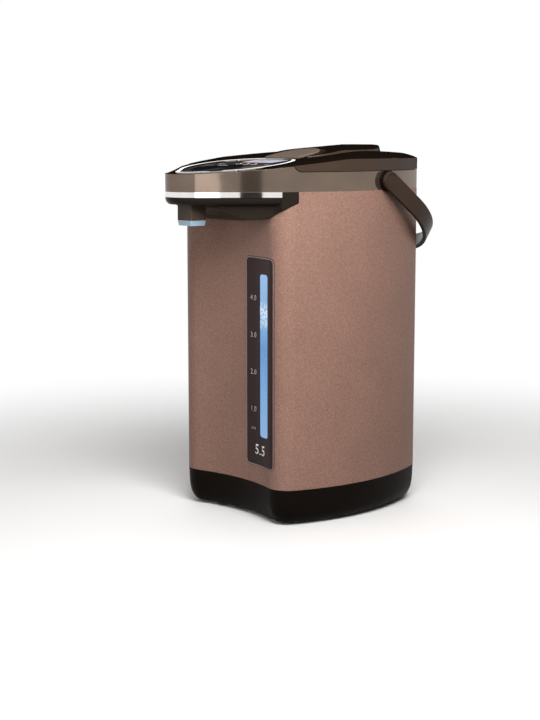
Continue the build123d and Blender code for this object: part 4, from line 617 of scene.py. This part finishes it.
# ---------------------------------------------------------------- edges of the mouldings
# solid, width of its rounded edges, body, slot, finish
MOULDED_EDGES = (
    ("head_housing", 0.9 * MM, "housing", "head_plastic", head_gloss),
    ("lid_cover", 0.9 * MM, "lid", "lid_plastic", lid_gloss),
    ("handle_bail", 0.9 * MM, "handle", "handle_plastic", handle_satin),
    ("latch_lever", 0.5 * MM, "latch", "head_plastic", tongue_gloss),
    ("spout_block", 0.8 * MM, "housing", "dark_plastic", spout_gloss),
    ("base_ring", 0.5 * MM, "housing", "dark_plastic", base_gloss, 50),
)
for moulding in MOULDED_EDGES:
    eased(*moulding)

# the spring under the latch, eased and given a mesh of its own; in the pot it shortens towards its foot as the latch
# goes down
lid_catch_spring = eased("latch_spring", 0.02 * MM, "lid", "steel", plated_steel, 60)
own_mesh(lid_catch_spring)


PANEL_RIM = 7.5 * MM
PANEL_FORWARD, WINDOW_FORWARD = 1.15 * MM, 1.64 * MM     # both end up level with the sleeve's face


def drawn_out(piece, moves):
    """Each move shifts the vertices that lie in its part of the piece."""
    take_up(piece)
    for belongs, shift in moves:
        bpy.ops.object.mode_set(mode="EDIT")
        bpy.ops.mesh.select_mode(type="VERT")
        bpy.ops.mesh.select_all(action="DESELECT")
        bpy.ops.object.mode_set(mode="OBJECT")
        for vertex in piece.data.vertices:
            vertex.select = belongs(vertex.co)
        bpy.ops.object.mode_set(mode="EDIT")
        bpy.ops.transform.translate(value=shift)
        bpy.ops.object.mode_set(mode="OBJECT")
    return piece


def forward_gauge_panel():
    """The gauge panel brought forward flush with the shell, its left side drawn out over the pocket's edge."""
    panel = eased("gauge_bezel", 0.3 * MM, "housing", "gauge_plastic", gauge_gloss, 40)
    low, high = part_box("gauge_bezel")
    return drawn_out(panel, ((lambda place: place.x < low.x + PANEL_RIM, (-1.9 * MM, -0.05 * MM, 0)),
                             (lambda place: place.z > high.z - PANEL_RIM, (0, 0, -1.8 * MM)),
                             (lambda place: place.z < low.z + PANEL_RIM, (0, 0, 1.2 * MM)),
                             (lambda place: True, (0, -PANEL_FORWARD, 0))))


def forward_gauge_window():
    """The lit window brought forward with its panel, a little wider so that it covers the opening's walls."""
    window = eased("gauge_window", 0.2 * MM, "housing", "window_plastic", window_blue, 40)
    low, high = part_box("gauge_window")
    middle = (low.x + high.x) / 2
    return drawn_out(window, ((lambda place: place.x < middle, (-0.4 * MM, 0.10 * MM, 0)),
                              (lambda place: place.x > middle, (0.9 * MM, -0.22 * MM, 0)),
                              (lambda place: True, (0, -WINDOW_FORWARD, 0))))


gauge_panel = forward_gauge_panel()
forward_gauge_window()


# ---------------------------------------------------------------- prints of the gauge and the panel, and the painted highlight round the gauge panel
INK_RISE, INK_FILM = 0.05 * MM, 0.06 * MM
# rise and film of the painted highlight round the gauge panel
HIGHLIGHT_RISE, HIGHLIGHT_FILM = 0.10 * MM, 0.16 * MM
IN_FRONT, ABOVE = -110 * MM, 400 * MM     # where a print starts before it is laid on its surface
LABEL_X, LABEL_HEIGHT, SMALL_LABEL_HEIGHT = 24.6 * MM, 5.0 * MM, 3.1 * MM
LABEL_BOLDNESS, CAPACITY_BOLDNESS = -0.07 * MM, 0.15 * MM
LITRE_MARKS = {"4.0": 210.9 * MM, "3.0": 176.1 * MM, "2.0": 141.1 * MM, "1.0": 105.7 * MM, "min": 87.5 * MM}
CAPACITY_X, CAPACITY_Z, CAPACITY_HEIGHT = 36.0 * MM, 67.3 * MM, 9.5 * MM
PANEL_LEGENDS = {"unlock": (33 * MM, -71.5 * MM), "reboil": (-33 * MM, -71.5 * MM),
                 "boil": (-11 * MM, -70.5 * MM), "warm": (0, -70.5 * MM), "empty": (11 * MM, -70.5 * MM)}
LEGEND_HEIGHT = 2.0 * MM
DISPENSE_LEGEND_HEIGHT, DISPENSE_LEGEND_PLACE = 2.6 * MM, (0, -98 * MM)
DIGIT_HEIGHT, DIGIT_PLACE = 11 * MM, (-4 * MM, -46 * MM)
UNIT_HEIGHT, UNIT_PLACE = 4 * MM, (9 * MM, -43 * MM)

pale_ink = print_ink("pale_print_ink", PALE_INK)
for words, level in LITRE_MARKS.items():
    label_height = SMALL_LABEL_HEIGHT if words == "min" else LABEL_HEIGHT
    label = print_text(words, label_height, (LABEL_X, IN_FRONT, level), "front", LABEL_BOLDNESS)
    press_onto(label, gauge_panel, "+y", INK_RISE, INK_FILM)
    hand_over(label, "gauge_label_" + words.replace(".", "_"), "housing", pale_ink)

capacity = print_text("5.5", CAPACITY_HEIGHT, (CAPACITY_X, IN_FRONT, CAPACITY_Z), "front", CAPACITY_BOLDNESS)
press_onto(capacity, gauge_panel, "+y", INK_RISE, INK_FILM)
hand_over(capacity, "gauge_capacity", "housing", print_ink("bright_print_ink", BRIGHT_INK))


def flat_label(name, words, height, place, target, ink, body="housing"):
    """A legend printed on the top of the head, seen from above."""
    label = print_text(words, height, (*place, ABOVE), "top")
    press_onto(label, solids[target], "-z", INK_RISE, INK_FILM)
    return hand_over(label, name, body, ink)


for words, place in PANEL_LEGENDS.items():
    flat_label("legend_" + words, words, LEGEND_HEIGHT, place, "control_panel", pale_ink)
flat_label("legend_dispense", "dispense", DISPENSE_LEGEND_HEIGHT, DISPENSE_LEGEND_PLACE, "dispense_button", pale_ink,
           "dispense_key")
dark_digits = print_ink("display_digit_ink", DIGIT_INK)
flat_label("display_degrees", "98", DIGIT_HEIGHT, DIGIT_PLACE, "display_window", dark_digits)
flat_label("display_unit", "C", UNIT_HEIGHT, UNIT_PLACE, "display_window", dark_digits)


def painted_gauge_highlight():
    """A painted highlight: a fine pale line round the gauge panel, where its edge catches the light, laid on its
    curved face.
    """
    width, bottom, top, middle = 47.7 * MM, 52.2 * MM, 249.5 * MM, 36.9 * MM
    corner, line = 5.2 * MM, 0.9 * MM
    deselect()
    bpy.ops.mesh.primitive_plane_add(size=1, rotation=(radians(90), 0, 0))
    highlight_line = bpy.context.object
    highlight_line.scale = (width, top - bottom, 1)
    highlight_line.location = (middle, IN_FRONT, (top + bottom) / 2)
    settle(highlight_line)
    bpy.ops.object.mode_set(mode="EDIT")
    bpy.ops.mesh.select_all(action="SELECT")
    bpy.ops.mesh.bevel(offset=corner, segments=6, affect="VERTICES")
    bpy.ops.mesh.select_all(action="SELECT")
    bpy.ops.mesh.inset(thickness=line)
    bpy.ops.mesh.delete(type="FACE")
    bpy.ops.mesh.select_all(action="SELECT")
    bpy.ops.mesh.subdivide(number_cuts=9)
    bpy.ops.object.mode_set(mode="OBJECT")
    press_onto(highlight_line, gauge_panel, "+y", HIGHLIGHT_RISE, HIGHLIGHT_FILM)
    hand_over(highlight_line, "painted_gauge_highlight", "housing", print_ink("painted_highlight_grey", EDGE_HIGHLIGHT_PAINT))


painted_gauge_highlight()


# ---------------------------------------------------------------- studio
WHITE = (1, 1, 1, 1)
FLOOR_SIZE = 12
FLOOR_SEEN = ((0.3, (0.80, 0.79, 0.78)), (0.7, (0.83, 0.82, 0.81)))   # drift of the paper's tone
FLOOR_GIVES_BACK = (0.12, 0.117, 0.114)                                  # what it throws on the object
FADE_START, FADE_END = 0.22, 0.85                                        # from the floor to plain white
ROOM_GREY, ROOM_LIGHT = (0.80, 0.80, 0.80, 1), 0.15
# name, place, aimed at, size, watts, and whether glossy surfaces mirror it
LAMPS = (
    ("key_softbox", (0.50, -0.30, 0.74), (0.06, -0.02, 0.28), (0.45, 0.45), 9, True),
    ("front_softbox", (0.45, -1.10, 0.42), (0, 0, 0.22), (0.45, 0.8), 4, False),
    ("nose_striplight", (1.041, -1.041, 0.42), (0.05, -0.11, 0.31), (0.05, 0.8), 0.25, True),
    ("overhead_softbox", (-0.2, 0.2, 1.7), (0, 0, 0.2), (1.0, 1.0), 4, True),
    ("rear_softbox", (-1.25, 0.95, 0.95), (0, 0, 0.2), (1.6, 1.6), 9, True),
)
STAND_PLACE, STAND_TURN, STAND_SIZE = (1.0958, -0.9793, 0.30), -39, (0.01, 0.040, 0.50)
LENS_MM, SENSOR_MM = 75, 36
CAMERA_PLACE, CAMERA_DIP, CAMERA_TURN = (1.0770, -0.9950, 0.3622), 8.57, 48.42


def shown_background(tree):
    """1 for a ray that shows the background itself, in the picture, in metal or through glass."""
    path = tree.nodes.new("ShaderNodeLightPath")
    rays = [path.outputs[label] for label in ("Is Camera Ray", "Is Glossy Ray", "Is Transmission Ray")]
    total = rays[0]
    for ray in rays[1:]:
        either = tree.nodes.new("ShaderNodeMath")
        either.operation = "MAXIMUM"
        tree.links.new(total, either.inputs[0])
        tree.links.new(ray, either.inputs[1])
        total = either.outputs[0]
    return total


def studio_floor():
    """A broad pale floor that runs out to white, and throws little light back up."""
    deselect()
    bpy.ops.mesh.primitive_plane_add(size=FLOOR_SIZE)
    floor = bpy.context.object
    floor.name = "studio_floor"
    finish = Finish("studio_floor_paper", roughness=0.8, specular_ior_level=0.2)
    seen = shown_background(finish.tree)
    paper = finish.ramp(finish.noise(0.6, 2), *FLOOR_SEEN)
    finish.drive("Base Color", finish.blend(seen, FLOOR_GIVES_BACK, paper))
    distance = finish.add("ShaderNodeVectorMath")
    distance.operation = "LENGTH"
    finish.join(finish.place, distance.inputs[0])
    reach = finish.between(distance.outputs["Value"], FADE_START, FADE_END, "SMOOTHSTEP")
    white = finish.add("ShaderNodeEmission", strength=1.0, color=WHITE)
    mixed = finish.add("ShaderNodeMixShader")
    finish.join(finish.calculate("MULTIPLY", reach, seen), mixed.inputs[0])
    finish.join(finish.shader.outputs[0], mixed.inputs[1])
    finish.join(white.outputs[0], mixed.inputs[2])
    finish.join(mixed.outputs[0], finish.tree.nodes["Material Output"].inputs["Surface"])
    floor.data.materials.append(finish.material)


def softbox(name, place, target, size, power, mirrored):
    """A rectangular lamp turned towards a point, which glossy surfaces show only if it is mirrored."""
    lamp = bpy.data.lights.new(name, "AREA")
    lamp.shape = "RECTANGLE"
    lamp.size, lamp.size_y = size
    lamp.energy = power
    holder = bpy.data.objects.new(name, lamp)
    holder.visible_camera = False
    holder.visible_glossy = mirrored
    bpy.context.scene.collection.objects.link(holder)
    holder.location = place
    holder.rotation_euler = (Vector(target) - Vector(place)).to_track_quat("-Z", "Y").to_euler()


def camera_stand():
    """The dark upright beside the lens, which shows as a dark break in the bright trim."""
    deselect()
    bpy.ops.mesh.primitive_cube_add(size=1, location=STAND_PLACE, rotation=(0, 0, radians(STAND_TURN)))
    stand = bpy.context.object
    stand.name = "camera_stand"
    stand.scale = STAND_SIZE
    settle(stand)
    stand.data.materials.append(soft_rubber("stand_cloth", STAND_BLACK))
    stand.visible_camera = False
    stand.visible_diffuse = False
    stand.visible_shadow = False


def surroundings():
    """White behind the object, a plain dim room for its light."""
    world = bpy.data.worlds.new("studio_room")
    bpy.context.scene.world = world
    world.use_nodes = True
    tree = world.node_tree
    background = tree.nodes["Background"]
    background.inputs["Color"].default_value = ROOM_GREY
    background.inputs["Strength"].default_value = ROOM_LIGHT
    paper = tree.nodes.new("ShaderNodeBackground")
    paper.inputs["Color"].default_value = WHITE
    paper.inputs["Strength"].default_value = 1.0
    swap = tree.nodes.new("ShaderNodeMixShader")
    tree.links.new(shown_background(tree), swap.inputs[0])
    tree.links.new(background.outputs[0], swap.inputs[1])
    tree.links.new(paper.outputs[0], swap.inputs[2])
    tree.links.new(swap.outputs[0], tree.nodes["World Output"].inputs["Surface"])


def viewpoint():
    """A long lens, a little above the lid, looking across the corner of the body."""
    camera = bpy.data.objects.new("viewpoint", bpy.data.cameras.new("viewpoint"))
    bpy.context.scene.collection.objects.link(camera)
    camera.data.lens = LENS_MM
    camera.data.sensor_width = SENSOR_MM
    camera.data.clip_start, camera.data.clip_end = 0.05, 30
    camera.location = CAMERA_PLACE
    camera.rotation_euler = (radians(90 - CAMERA_DIP), 0, radians(CAMERA_TURN))
    bpy.context.scene.camera = camera


studio_floor()
for lamp in LAMPS:
    softbox(*lamp)
camera_stand()
surroundings()
viewpoint()
bpy.context.scene.view_settings.view_transform = "Standard"
